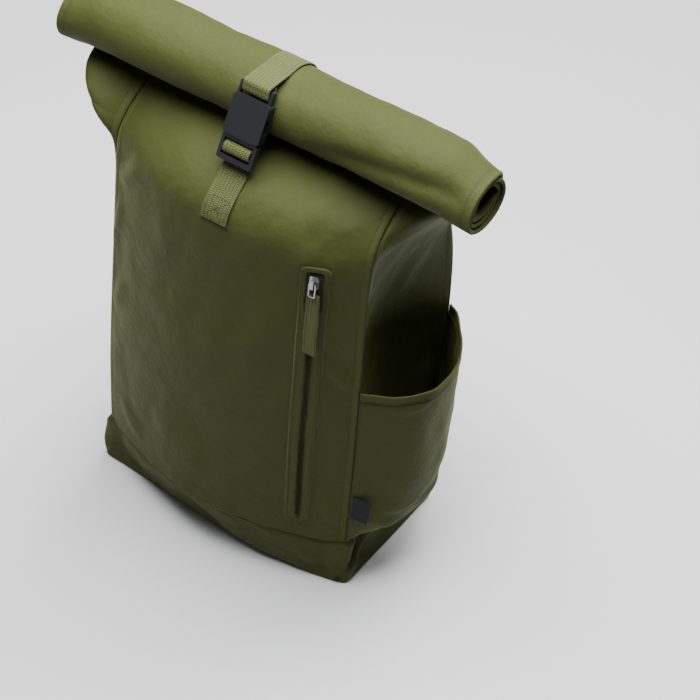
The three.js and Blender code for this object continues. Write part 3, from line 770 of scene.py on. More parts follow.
@dataclass
class Finishes:
    """Every material, made once."""

    fx: Effects = field(default_factory=Effects)
    made: dict[Slot, bpy.types.Material] = field(default_factory=dict)
    thread: bpy.types.Material | None = None

    def build(self) -> "Finishes":
        """Makes the materials of all slots."""
        # the lighter canvas colour: worn ridges, random flecks and the painted highlight on raised threads
        light = (0.052, 0.06, 0.016)
        kinds = {
            Slot.CANVAS: Cloth("olive canvas", (0.026, 0.0315, 0.0045), light),
            Slot.STRAP: Cloth("olive strap canvas", (0.025, 0.029, 0.0055), light, threads=900.0),
            Slot.ZIP_CLOTH: Webbing("zip tape", (0.02, 0.024, 0.006), pitch=0.0011),
            Slot.WEBBING: Webbing("olive webbing", (0.058, 0.066, 0.02), pitch=0.003),
            Slot.LABEL: Cloth(
                "dark woven label", (0.005, 0.006, 0.009), (0.01, 0.012, 0.016), threads=2200.0
            ),
            Slot.PLASTIC: Moulded("black moulded plastic", (0.0035, 0.004, 0.0058)),
            Slot.METAL: Plated("bright nickel"),
        }
        self.made = {slot: kind.material(self.fx) for slot, kind in kinds.items()}
        self.thread = Webbing("olive thread", (0.04, 0.046, 0.014), pitch=0.0004).material(self.fx)
        return self

    def dress(self, obj: bpy.types.Object, slot: Slot, nodes: tuple[str, ...] = ()) -> bpy.types.Object:
        """Gives a piece its slot's material, parents it to the root body and hides the CAD nodes it stands
        for.

        Args:
            obj: the piece.
            slot: its material slot.
            nodes: CAD nodes that it replaces.

        Returns:
            The piece.
        """
        obj.data.materials.clear()
        obj.data.materials.append(self.made[slot])
        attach(obj, "root")
        if nodes:
            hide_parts(*nodes)
        LOG.info("piece %s: %d faces", obj.name, len(obj.data.polygons))
        return obj


# Body


@dataclass
class BagShape:
    """The lofted outline of the bag: seams and panel middles from the tables, at any row position."""

    scale: tuple[float, float, float] = (SIZE.half_width, SIZE.half_depth, SIZE.neck_z)

    def front(self, t: Array, u: Array) -> Array:
        """Front panel: a parabola from seam to seam, over rows t and u from -1 to 1."""
        w, d, h = self.scale
        fx, fy, fz = (BODY.at(k, t)[:, None] for k in ("seam_x", "seam_y", "seam_z"))
        my, mz = (BODY.at(k, t)[:, None] for k in ("mid_y", "mid_z"))
        share = (1 - u * u)[None]
        y = fy + (my - fy) * share
        z = fz + (mz - fz) * share
        return np.stack([fx * w * u[None], y * d, z * h], axis=-1)

    def back(self, t: Array, u: Array) -> Array:
        """Back panel: straight across between the two back seams, over rows t and u from -1 to 1."""
        w, d, h = self.scale
        rx, ry, rz = (BODY.at(k, t)[:, None] for k in ("rear_x", "rear_y", "rear_z"))
        flat = np.ones_like(u)[None]
        return np.stack([rx * w * u[None], ry * d * flat, rz * h * flat], axis=-1)

    def side(self, t: Array, v: Array, table: Table, sign: int) -> Array:
        """Side panel, standing off the line between its seams by 1 - |2v - 1|^power.

        Args:
            t: rows.
            v: shares from 0 at the front seam to 1 at the back seam.
            table: how the panel stands off.
            sign: 1 on the right and -1 on the left.

        Returns:
            Points, t by v by 3.
        """
        w, d, h = self.scale
        fx, fy, fz, rx, ry, rz = (
            BODY.at(k, t)[:, None] for k in ("seam_x", "seam_y", "seam_z", "rear_x", "rear_y", "rear_z")
        )
        out, ahead, lift, power = (table.at(k, t)[:, None] for k in table.names)
        turn = (2 * v - 1)[None]
        share = 1 - np.abs(turn) ** power
        hold = np.clip((power - 1.05) * 1.6, 0.25, 1)
        across = 0.5 + 0.5 * np.sign(turn) * np.abs(turn) ** hold
        x = sign * ((fx + (rx - fx) * v[None]) * w + out * w * share)
        y = (fy + (ry - fy) * across) * d - ahead * d * share
        z = (fz + (rz - fz) * across) * h + lift * h * share
        return np.stack([x, y, z], axis=-1)


FRONT_FOLDS = (
    Fold(96, 262, 126, 226, 5, 3.2),
    Fold(60, 366, 112, 352, 16, 2.4),
    Fold(-118, 330, -84, 372, 9, 2.6),
    Fold(-124, 250, -112, 318, 6, 2.4),
    Fold(-122, 190, -100, 236, 8, 1.6),
    Fold(-60, 120, 10, 92, 26, 2.2),
    Fold(40, 250, 78, 330, 15, 1.6),
    Fold(100, 110, 122, 66, 6, 1.8),
    Fold(-30, 404, 60, 398, 12, 2.0),
    Fold(62, 402, 116, 388, 10, 2.4),
    Fold(-112, 98, -70, 66, 9, 1.8),
)
SIDE_FOLDS = (
    Fold(18, 318, 66, 352, 14, 2.2),
    Fold(12, 372, 60, 390, 10, 1.2),
    Fold(30, 250, 40, 320, 12, 1.8),
    Fold(88, 260, 112, 330, 11, 1.6),
    Fold(8, 120, 30, 66, 8, 2.0),
)
POCKET_FOLDS = (
    Fold(2, 92, 46, 66, 6, 2.4),
    Fold(26, 210, 70, 222, 5, 1.4),
    Fold(60, 74, 110, 96, 7, 2.0),
)


@dataclass
class Panels:
    """The four cloth panels of the body."""

    shape: BagShape
    finishes: Finishes
    seam_shade_width: float = 0.55
    puff: float = 0.4
    grids: dict[str, Array] = field(default_factory=dict)

    def relief(self, p: Array, folds: tuple[Fold, ...], seed: int, calm: float) -> tuple[Array, Array, Array]:
        """Moves a panel along its normals: ripples and folds that die out at the seams, and a puffed edge.

        Args:
            p: the panel's points.
            folds: creases, with u from the panel's first seam, or from its middle on the front.
            seed: picks the ripples.
            calm: share of the ripples kept.

        Returns:
            The moved points, a mask of painted shade along the seams and a wear mask.
        """
        across = path_lengths(p, 1)
        edge = np.minimum(across, across[:, -1:] - across)
        up = path_lengths(p, 0)
        u = p[..., 0] if folds is FRONT_FOLDS else across
        hold = smooth(edge / 14)
        big = ripple(u, up, 120, seed) * 1.5 + ripple(u, up, 46, seed + 40) * 0.55
        fine = ripple(u, up, 17, seed + 80) * 0.16
        lift = (big + fine) * hold * calm
        for fold in folds:
            lift = lift + fold.lift(u, p[..., 2]) * smooth(edge / 5)
        rim = bell(edge, 3.2, 2.4) * self.puff - 0.2 * bell(edge, 0, 0.6)
        stitch = -0.22 * bell(edge, SEAM_INSET, 0.8)
        moved = p + grid_normals(p) * (lift + rim + stitch)[..., None]
        # the seam mask is painted shade that darkens the cloth along its seams
        return moved, bell(edge, 0, self.seam_shade_width), bell(edge, 4.0, 2.4) * 0.6

    def build(self) -> None:
        """Builds and dresses all four panels."""
        t, t_few = (
            np.concatenate([np.linspace(0, 7, low, endpoint=False), np.linspace(7, TOP_ROW, high)])
            for low, high in ((120, 110), (90, 90))
        )
        u = np.linspace(-1, 1, 170)
        v = np.linspace(0, 1, 100)
        self._panel("front_panel", self.shape.front(t, u), FRONT_FOLDS, 1, 1.0)
        self._panel("side_panel_right", self.shape.side(t_few, v, SIDE_RIGHT, 1), SIDE_FOLDS, 2, 0.8)
        self._panel("back_panel", self.shape.back(t_few, -u[::2]), (), 3, 0.7)
        left = self.shape.side(t_few, v, SIDE_LEFT, -1)[:, ::-1]
        self._panel("side_panel_left", left, (), 4, 0.9)

    def _panel(self, name: str, p: Array, folds: tuple[Fold, ...], seed: int, calm: float) -> None:
        """One panel, thickened inward."""
        moved, seam, wear = self.relief(p, folds, seed, calm)
        self.grids[name] = moved
        obj = grid_object(name + "_cloth", moved, masks={"seam": seam, "wear": wear})
        thicken(obj, SIZE.cloth)
        self.finishes.dress(obj, Slot.CANVAS, (name,))


@dataclass
class Boot:
    """The base tray: the body's lowest outline led down to the floor, pressed in under the pocket."""

    shape: BagShape
    finishes: Finishes
    tuck: float = 9.0
    skew: float = 0.8
    cols: int = 110
    rows: int = 60
    outer: Array | None = None

    def outline(self) -> Array:
        """The body's lowest outline, counter-clockwise from the front left seam."""
        t = np.zeros(1)
        u = np.linspace(-1, 1, self.cols)
        v = np.linspace(0, 1, self.cols // 2)
        lines = [
            self.shape.front(t, u)[0, :-1],
            self.shape.side(t, v, SIDE_RIGHT, 1)[0, :-1],
            self.shape.back(t, -u)[0, :-1],
            self.shape.side(t, v, SIDE_LEFT, -1)[0, ::-1][:-1],
        ]
        return np.concatenate(lines)

    @staticmethod
    def _ear(s: Array, height: Array) -> Array:
        """The fold behind the front right corner: a hollow, then a ridge that leans back as it rises.

        Args:
            s: lengths along the outline from the corner, in mm.
            height: shares of the tray's height.

        Returns:
            Heights off the cloth, in mm.
        """
        ridge = 2 + 44 * height
        crest = 3.0 * bell(s, ridge, 5) * smooth(height / 0.35)
        hollow = -7.5 * bell(s, ridge - 14, 5 + 5 * height) * smooth((height - 0.15) / 0.4)
        return crest + hollow * smooth((s + 5) / 6)

    @staticmethod
    def _round_corners(p: Array, height: Array, radius: float = 10.0) -> Array:
        """Pulls the tray's corners in toward the floor, as far as an arc would cut them.

        Args:
            p: the tray's points.
            height: shares of the tray's height, one in each row.
            radius: the arc's radius, in mm.

        Returns:
            The points, with their corners rounded.
        """
        limit = np.array([SIZE.half_width, SIZE.half_depth]) * 1.03 - radius
        q = np.abs(p[..., :2]) - limit
        both = np.maximum(q, 0)
        size = np.maximum(np.linalg.norm(both, axis=-1, keepdims=True), 1e-6)
        corner = (q > 0).all(axis=-1, keepdims=True)
        held = np.where(size > radius, radius / size, 1.0)
        share = smooth((1 - height) / 0.8)[..., None]
        scale = 1 + (held - 1) * share
        flat = np.where(corner, np.sign(p[..., :2]) * (limit + both * scale), p[..., :2])
        return np.concatenate([flat, p[..., 2:]], axis=-1)

    def build(self) -> None:
        """Builds the tray: rows from the seam down, then in under the bag to its middle."""
        size = SIZE
        ring = self.outline()
        t = np.linspace(0, len(BASE.rows) - 1, self.rows)
        grow, height, bulge, tuck = (BASE.at(k, t)[:, None] for k in BASE.names)
        height = np.clip(height, 0, 1)
        x, y = ring[None, :, 0], ring[None, :, 1]
        flat_y = np.maximum(y, -size.half_depth)
        lean = 1 + self.skew * (1 - height) * (x / size.half_width)
        right = (x > 0.93 * size.half_width) & (np.abs(y) < size.half_depth)
        press = np.where(right, np.clip(1 - (y / size.half_depth) ** 2, 0, 1), 0)
        px = x * grow - self.tuck * tuck * press
        py = (flat_y + (y - flat_y) * np.clip(bulge * lean, 0, 1.2)) * grow
        rise = height * size.base_h
        p = np.stack([px, py, np.broadcast_to(rise, px.shape)], axis=-1)
        p = self._round_corners(p, height)
        along = path_lengths(np.concatenate([ring, ring[:1]])[None], 1)[0, :-1][None]
        corners = np.array([[s * size.half_width, q * size.half_depth] for s in (-1, 1) for q in (-1, 1)])
        near = np.min(np.linalg.norm(ring[None, :, :2] - corners[:, None], axis=-1), axis=0)[None]
        n = -grid_normals(p, wrap=True)
        wall = smooth(height / 0.35) * smooth((1 - height) / 0.12)
        lift = ripple(along, rise, 60, 11) * 1.7 + ripple(along, rise, 24, 12) * 0.6
        lift = lift + 2.2 * (bell(near, 0, 13) - bell(near, 24, 9))
        lift = lift + self._ear(along - along[0, self.cols - 1], height)
        p = p + n * (wall * lift)[..., None]
        p[..., 2] = np.maximum(p[..., 2], 0.02)
        middle = p[-1].mean(axis=0)
        shrink = np.linspace(1, 0.02, 14)[1:, None, None]
        floor = middle + (p[-1] - middle)[None] * shrink
        p = np.concatenate([p, floor])
        # painted shade: the seam mask darkens the seam line at the tray's top and its corner seams
        seam = np.zeros(p.shape[:2])
        seam[: self.rows] = bell(rise, size.base_h, 2.2) + 0.8 * bell(near, 0, 1.6) * smooth(height / 0.2)
        self.outer = p
        obj = grid_object("base_boot", p[::-1], wrap=True, masks={"seam": seam[::-1], "wear": 0 * seam})
        thicken(obj, size.cloth)
        self.finishes.dress(obj, Slot.CANVAS, ("base_panel",))


@dataclass
class Collar:
    """The rolled top: two layers of cloth wound forward from the neck on a shrinking ellipse."""

    finishes: Finishes
    y: float = -28.5
    z: float = 448.3
    half_y: float = 34.0
    half_z: float = 28.5
    turns: float = 3.0
    pitch_y: float = 4.8
    pitch_z: float = 5.8
    layer: float = 3.4
    end_from: float = 0.8
    end_scale: float = 0.86
    end_drop: float = 6.0
    end_ahead: float = 3.0
    set_back: float = 6.0
    wall: float = 1.1

    def middle(self, a: Array, x: Array) -> tuple[Array, Array]:
        """The spiral's middle line and its outward normals.

        Args:
            a: angles from the neck, a column.
            x: shares of the roll's half length, a row.

        Returns:
            Points and normals, each a by x by 3.
        """
        end = smooth((np.abs(x) - self.end_from) / (1 - self.end_from))
        scale = 1 + (self.end_scale - 1) * end
        turn = a / (2 * np.pi)
        half_y = (self.half_y - self.pitch_y * turn) * scale
        half_z = (self.half_z - self.pitch_z * turn) * scale
        cy, cz = self.y - self.end_ahead * end, self.z - self.end_drop * end
        zero = 0 * half_y * x
        point = np.stack([zero, cy + half_y * np.cos(a), cz + half_z * np.sin(a)], axis=-1)
        n = np.stack([zero, np.cos(a) / half_y, np.sin(a) / half_z], axis=-1)
        return point, unit(n)

    def soft(self, a: Array, x: Array) -> Array:
        """Unevenness of the roll, the same for every turn: valleys along it and ripples across it.

        Args:
            a: angles from the neck, a column.
            x: shares of the roll's half length, a row.

        Returns:
            Heights in mm, a by x.
        """
        turn = np.mod(a, 2 * np.pi)
        run = x * SIZE.roll_half
        line = 3.18 - 1.05 * (x - 0.43)
        valley = -5.0 * bell(turn, line, 0.3) * smooth((x - 0.2) / 0.3) * smooth((0.98 - x) / 0.15)
        other = -1.4 * bell(turn, 2.0, 0.25) * smooth((x + 0.05) / 0.1) * smooth((0.35 - x) / 0.25)
        wave = ripple(run, turn * 30, 95, 21) + ripple(run, turn * 30, 30, 22) * 0.35
        return valley + other + wave * smooth((2 * np.pi * self.turns - a + 2) / 2)

    def tucked(self, a: Array, x: Array) -> Array:
        """How far the inner turns are pushed in near the ends by a V-shaped fold, in mm."""
        inner = smooth((a / (2 * np.pi) - 0.9) / 0.5)
        end = smooth((np.abs(x) - 0.86) / 0.14)
        turn = np.mod(a, 2 * np.pi)
        return -inner * end * (4 * bell(turn, 2.9, 0.5) + 3 * bell(turn, 5.6, 0.4))

    def build(self) -> None:
        """Builds the wound tube: one loop of two layers at each step, from the neck to the mouth."""
        lead, wound, cols = 16, int(self.turns * 54), 121
        x = np.sin(np.linspace(-np.pi / 2, np.pi / 2, cols))
        loop_x = np.concatenate([x, [1.006], x[::-1], [-1.006]])[None]
        side = np.concatenate([-np.ones(cols), [0], np.ones(cols), [0]])[None]
        a = np.linspace(0, self.turns * 2 * np.pi, wound + 1)[:, None]
        point, n = self.middle(a, loop_x)
        goal_z = point[:1, :, 2]
        inward = 2.6 * np.clip(a / (2 * np.pi) - 0.85, 0, 1.2)
        half = SIZE.roll_half - self.set_back * (1 - smooth(a / 1.5)) - inward
        point = point + n * (self.soft(a, loop_x) + self.tucked(a, loop_x))[..., None]
        rolled = point + n * (side * self.layer / 2)[..., None]
        rolled[..., 0] = loop_x * half
        s = np.linspace(0, 1, lead, endpoint=False)[:, None]
        start_y, start_z = SIZE.neck_gap / 2, SIZE.neck_z + 0.3
        bow_z = start_z + 0.4 * (goal_z - start_z)
        thick = SIZE.neck_gap + (self.layer - SIZE.neck_gap) * s
        ly = (1 - s * s) * (start_y + side * 0.5 * thick) + s * s * rolled[:1, :, 1]
        lz = (1 - s) ** 2 * start_z + 2 * s * (1 - s) * bow_z + s * s * rolled[:1, :, 2]
        seam_x = (BODY.at("seam_x", TOP_ROW) + BODY.at("rear_x", TOP_ROW)) / 2
        neck = (seam_x + SIDE_RIGHT.at("out", TOP_ROW)) * SIZE.half_width
        lx = loop_x * (neck + (SIZE.roll_half - self.set_back - neck) * s)
        p = np.concatenate([np.stack([lx, ly, lz], axis=-1), rolled])
        reach = np.abs(p[..., 0])
        # painted shade: a dark line along the hem near each end of the roll, through the seam mask
        hem = bell(reach, SIZE.roll_half - 7, 1.0)
        fold = bell(reach, SIZE.roll_half + 1, 2.0) * 0.3
        obj = grid_object("rolled_collar_cloth", p, wrap=True, masks={"seam": 0.5 * hem, "wear": fold})
        thicken(obj, self.wall)
        self.finishes.dress(obj, Slot.CANVAS, ("rolled_collar",))


@dataclass
class SidePocket:
    """The bulged pocket on the right side, with a turned hem at its rim."""

    shape: BagShape
    finishes: Finishes
    foot: float = 51.2
    hem: float = 9.0
    grid: Array | None = None

    def surface(self, z: Array, v: Array) -> Array:
        """The outer face: a line between the two seams pushed out by a skewed power curve.

        Args:
            z: heights in mm.
            v: shares from the front edge to the back edge.

        Returns:
            Points, z by v by 3.
        """
        up = (z - self.foot) / (SIZE.pocket_rim - self.foot)
        bulge, power, tail = (np.interp(up, POCKET.rows[:, 0], POCKET.rows[:, k])[:, None] for k in (1, 2, 3))
        t_fine = np.linspace(0, 8, 400)
        t = np.interp(z, BODY.at("seam_z", t_fine) * SIZE.neck_z, t_fine)
        front = self.shape.side(t, np.array([0.0]), SIDE_RIGHT, 1)
        rear = self.shape.side(t, np.array([1.0]), SIDE_RIGHT, 1)
        full = SIZE.pocket_fullest
        reach = np.abs(v - full) / np.where(v < full, full, 1 - full)
        share = 1 - reach[None] ** np.where((v < full)[None], power, tail)
        line = front + (rear - front) * v[None, :, None]
        off = 0.2 + 1.75 * (1 - np.abs(2 * v - 1) ** 12)[None]
        x = line[..., 0] + off + SIZE.pocket_bulge * bulge * share
        y = line[..., 1] - (1 - smooth(v / 0.03))[None]
        return np.stack([x, y, np.broadcast_to(z[:, None], x.shape)], axis=-1)

    def build(self) -> None:
        """Builds the wall with its hem, its soft folds and the gathers over its foot."""
        knee = 80
        low = np.linspace(self.foot, knee, 34, endpoint=False)
        z = np.concatenate([low, np.linspace(knee, SIZE.pocket_rim, 100)])
        v = np.linspace(0, 1, 130)
        p = self.surface(z, v)
        n = grid_normals(p)
        run = path_lengths(p, 1)
        zz = p[..., 2]
        edge = np.minimum(run, run[:, -1:] - run)
        hold = smooth(edge / 12)
        lift = (ripple(run, zz, 70, 31) * 1.3 + ripple(run, zz, 27, 32) * 0.35) * hold
        for fold in POCKET_FOLDS:
            lift = lift + fold.lift(run, zz)
        top = SIZE.pocket_rim - zz
        hem = smooth((self.hem - top) / 1.4) * 0.9 - 0.5 * bell(top, self.hem, 0.8)
        sag = -1.5 * bell(top, 0, 6) * np.sin(np.pi * v)[None] ** 2
        p = p + n * (lift + hem)[..., None]
        p[..., 2] += sag
        self.grid = p
        # painted shade: the seam mask darkens the side edges, the hem line and the foot
        seam = 0.5 * bell(edge, 0, 0.6) + 0.7 * bell(top, self.hem, 0.7) + bell(zz, self.foot, 1.6)
        wear = bell(top, 0, 2.0) * 0.7
        obj = grid_object("side_pocket_cloth", p, masks={"seam": np.clip(seam, 0, 1), "wear": wear})
        thicken(obj, SIZE.cloth)
        self.finishes.dress(obj, Slot.CANVAS, ("side_pocket_right",))


# Trim


def on_grid(grid: Array, x: Array, z: Array) -> tuple[Array, Array]:
    """Points of the front grid at given x and z, with its normals there.

    Args:
        grid: the front panel's displaced points.
        x: positions across, in mm.
        z: heights, in mm.

    Returns:
        Points and normals in the shape of x and z, with 3 coordinates.
    """
    rows = np.arange(grid.shape[0], dtype=float)
    middle = grid.shape[1] // 2
    j = np.interp(z, grid[:, middle, 2], rows)
    j0 = np.clip(np.floor(j).astype(int), 0, grid.shape[0] - 2)
    f = (j - j0)[..., None]
    seam = grid[j0, -1, 0] * (1 - f[..., 0]) + grid[j0 + 1, -1, 0] * f[..., 0]
    c = (x / seam + 1) / 2 * (grid.shape[1] - 1)
    i0 = np.clip(np.floor(c).astype(int), 0, grid.shape[1] - 2)
    g = (c - i0)[..., None]

    def mix(a: Array) -> Array:
        """Bilinear value of a at the found places."""
        low = a[j0, i0] * (1 - g) + a[j0, i0 + 1] * g
        high = a[j0 + 1, i0] * (1 - g) + a[j0 + 1, i0 + 1] * g
        return low * (1 - f) + high * f

    return mix(grid), mix(grid_normals(grid))


@dataclass
class Stitches:
    """Rows of raised stitches along lines on the cloth."""

    finishes: Finishes
    length: float = 2.7
    pitch: float = 3.5
    radius: float = 0.26

    def build(self, name: str, lines: list[Array], slot: Slot = Slot.CANVAS) -> None:
        """One object of capsules: rings swept along each stitch, narrow at both ends.

        Args:
            name: the object's name.
            lines: polylines of the stitch rows, each n by 3, already lifted off the cloth.
            slot: the slot that the thread takes.
        """
        points, faces, total = [], [], 0
        rings, sides = 5, 6
        block = rings * sides
        ring_s = np.linspace(0, 1, rings)
        swell = np.sqrt(np.clip(1 - (2 * ring_s - 1) ** 4, 0.02, 1)) * self.radius
        c, s = superellipse(2 * np.pi * np.arange(sides) / sides, 1)
        quads = grid_faces(rings, sides, wrap=True)
        for line in lines:
            run = path_lengths(line[None], 1)[0]
            count = int(run[-1] // self.pitch)
            if count < 1:
                continue
            place = (np.arange(count)[:, None] + 0.15) * self.pitch + ring_s[None] * self.length
            at = np.stack([np.interp(place, run, line[:, k]) for k in range(3)], axis=-1)
            tangent = unit(at[:, -1] - at[:, 0])
            helper = np.where(np.abs(tangent[:, 2:]) > 0.9, [[1.0, 0, 0]], [[0, 0, 1.0]])
            side = unit(np.cross(tangent, helper))
            up = np.cross(side, tangent)
            radial = side[:, None] * c[None, :, None] + up[:, None] * s[None, :, None]
            points.append((at[:, :, None] + radial[:, None] * swell[None, :, None, None]).reshape(-1, 3))
            faces.append((quads[None] + (total + np.arange(count) * block)[:, None, None]).reshape(-1, 4))
            total += count * block
        p = np.concatenate(points)
        obj = mesh_object(name, p, np.concatenate(faces), p[:, [0, 2]])
        self.finishes.dress(obj, slot)
        obj.data.materials[0] = self.finishes.thread


@dataclass
class Zip:
    """The upright zip: stitched welt, tape, coil teeth and cloth puller."""

    front: Array
    finishes: Finishes
    stitches: Stitches
    x: float = 88.0
    low: float = 74.0
    high: float = 356.0
    width: float = 22.0
    mouth: float = 12.0
    slit: float = 0.12
    part: float = 326.0

    def build(self) -> None:
        """Builds the cloth parts: the welt, tape, coil and puller."""
        self._welt()
        self._tape()
        self._coil()
        self._puller()

    def _welt(self) -> None:
        """A frame with a rounded section: the rectangle's outline swept by a low arch, corners rounded."""
        half_m, half_w = self.mouth / 2, self.width / 2
        mid_z = (self.low + self.high) / 2
        run = np.linspace(0, 1, 420, endpoint=False)
        across = np.linspace(0, 1, 13)
        rim = half_w - half_m
        ax = half_m + rim * across[None]
        az = (self.high - self.low) / 2 + rim * across[None]
        corner = 2.0 + rim * 0.6 * across[None]
        px, pz = rounded_outline(run[:, None], ax, az, corner)
        shut = half_m - (half_m - self.slit) * smooth((self.part - mid_z - pz) / 30)
        far = np.abs(px)
        pulled = np.where(far > half_m, half_w - (half_w - far) * (half_w - shut) / rim, far * shut / half_m)
        px = np.sign(px) * pulled
        inner = np.sqrt(1 - (1 - across * 4.5).clip(0, 1) ** 2)
        arch = inner * np.sqrt(1 - ((across - 0.82) / 0.18).clip(0, 1) ** 2)
        groove = -0.35 * bell(across, 0.72, 0.06) - 0.25 * bell(across, 0.22, 0.05)
        flat, n = on_grid(self.front, self.x + px, mid_z + pz)
        puff = 0.25 * ripple(px, pz, 14, 51)
        p = flat + n * (0.15 + groove + (1.7 + puff) * arch)[..., None]
        top = np.transpose(p, (1, 0, 2))
        bottom = np.transpose(flat + n * 0.1, (1, 0, 2))[::-1]
        # painted shade: the seam mask darkens the welt's inner and outer edges; wear lightens the rest
        seam = 0.6 * bell(across, 0, 0.03) + bell(across, 1.0, 0.09)
        loop = np.concatenate([top, bottom[1:-1], top[:1]])
        column = np.concatenate([seam, np.zeros(len(bottom) - 2), seam[:1]])[:, None]
        mask = np.broadcast_to(column, loop.shape[:2])
        masks = {"seam": np.clip(mask, 0, 1), "wear": 0.5 - 0.5 * mask}
        obj = grid_object("zip_welt_cloth", loop, wrap=True, masks=masks)
        self.finishes.dress(obj, Slot.CANVAS, ("zip_welt",))
        rows = [p[:, k] + n[:, k] * 0.22 for k in (3, 9)]
        self.stitches.build("zip_stitches", [np.concatenate([r, r[:1]]) for r in rows])

    def _tape(self) -> None:
        """A flat woven strip in the welt's mouth."""
        x = np.linspace(-self.mouth / 2 + 0.3, self.mouth / 2 - 0.3, 13)[None]
        z = np.linspace(self.low + 1, self.high - 1, 150)[:, None]
        base, n = on_grid(self.front, self.x + x + 0 * z, z + 0 * x)
        obj = grid_object("zip_tape_cloth", base + n * 0.75)
        thicken(obj, 0.5)
        self.finishes.dress(obj, Slot.ZIP_CLOTH, ("zip_tape",))

    def _coil(self) -> None:
        """Two rows of coil teeth, each one a bent wire that loops over the middle."""
        pitch, steps, ring, wire = 1.25, 8, 6, 0.62
        k = np.arange(int((self.high - self.low - 8) / pitch) * steps)
        phase = 2 * np.pi * k / steps
        z = self.low + 4 + pitch * k / steps
        coils = []
        for sign in (-1, 1):
            base, n = on_grid(self.front, self.x + 1.15 * sign + 1.25 * np.cos(phase), z)
            path = base + n * (1.35 + 0.55 * np.sin(phase))[:, None]
            tangent = unit(np.gradient(path, axis=0))
            side = unit(np.cross(tangent, [0.0, 1.0, 0.0]))
            coils.append(box_sweep(path, side, np.cross(side, tangent), wire, wire, ring, 1.0).reshape(-1, 3))
        p = np.concatenate(coils)
        quads = grid_faces(len(k), ring, wrap=True)
        obj = mesh_object("zip_coil_teeth", p, np.concatenate([quads, quads + len(coils[0])]), p[:, [0, 2]])
        self.finishes.dress(obj, Slot.ZIP_CLOTH, ("zip_coil",))

    def _puller(self) -> None:
        """The folded cloth tab: a thin sweep that widens from its eye and hangs on the zip."""
        low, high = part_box("zip_puller")
        steps, full, inset = 60, 13.4, 1.6
        z = np.linspace(high[2] / MM - 1.0, low[2] / MM + 0.3, steps)
        base, n = on_grid(self.front, np.full_like(z, self.x), z)
        s = np.linspace(0, 1, steps)
        path = base + n * (0.9 * np.sin(s * 2.6) + 4.6)[:, None]
        width = full * (0.82 + 0.18 * smooth(s / 0.08)) * (1 - 0.12 * smooth((s - 0.97) / 0.03))
        thick = 1.9 + 1.4 * bell(s, 0, 0.045) - 0.5 * bell(s, 0.1, 0.03)
        across = np.broadcast_to([1.0, 0, 0], path.shape)
        obj = closed_sweep("zip_puller_tab", box_sweep(path, across, n, width, thick, ring=28, square=0.3))
        self.finishes.dress(obj, Slot.WEBBING, ("zip_puller",))
        face = (path + n * (thick / 2 + 0.12)[:, None])[5:-3]
        lines = [face + across[5:-3] * sign * (full / 2 - inset) for sign in (-1, 1)]
        self.stitches.build("puller_stitches", lines, Slot.WEBBING)


def rounded_outline(run: Array, half_x: Array, half_z: Array, radius: Array) -> tuple[Array, Array]:
    """The outline of a rounded rectangle, counter-clockwise from the middle of its right side.

    Args:
        run: shares from 0 to 1.
        half_x: half widths.
        half_z: half heights.
        radius: corner radii.

    Returns:
        x and z of the outline.
    """
    run, half_x, half_z, radius = np.broadcast_arrays(run, half_x, half_z, radius)
    arc = radius * np.pi / 2
    side, top = half_z - radius, half_x - radius
    quarter = side + arc + top
    q = np.mod(run * 4, 4)
    k = np.floor(q).astype(int)
    s = np.where(k % 2 == 0, q - k, 1 - (q - k)) * quarter
    angle = np.clip((s - side) / arc, 0, 1) * np.pi / 2
    past = s > side + arc
    x = np.where(s < side, half_x, np.where(past, top - (s - side - arc), top + radius * np.cos(angle)))
    z = np.where(s < side, s, np.where(past, half_z, side + radius * np.sin(angle)))
    sx = np.where((k == 0) | (k == 3), 1, -1)
    sz = np.where((k == 0) | (k == 1), 1, -1)
    return x * sx, z * sz


@dataclass
class Tape:
    """One length of webbing with rounded edges, along a path in the YZ plane."""

    finishes: Finishes
    width: float = SIZE.webbing_w
    thick: float = 1.6
    steps: int = 160

    def build(self, name: str, knots: list[tuple[float, float]], node: str, x: float = 0.0) -> Array:
        """Sweeps the section along a smooth curve through the knots.

        Args:
            name: the object's name.
            knots: (y, z) points.
            node: the CAD node it stands for.
            x: the middle across.

        Returns:
            The path with its normals, steps by 2 by 3.
        """
        path = np.column_stack([np.full(self.steps, x), curve_points(np.array(knots, float), self.steps)])
        across = np.broadcast_to([1.0, 0, 0], path.shape)
        up = np.cross(across, unit(np.gradient(path, axis=0)))
        obj = closed_sweep(name, box_sweep(path, across, up, self.width, self.thick, ring=36, square=0.22))
        self.finishes.dress(obj, Slot.WEBBING, (node,))
        return np.stack([path, up], axis=1)


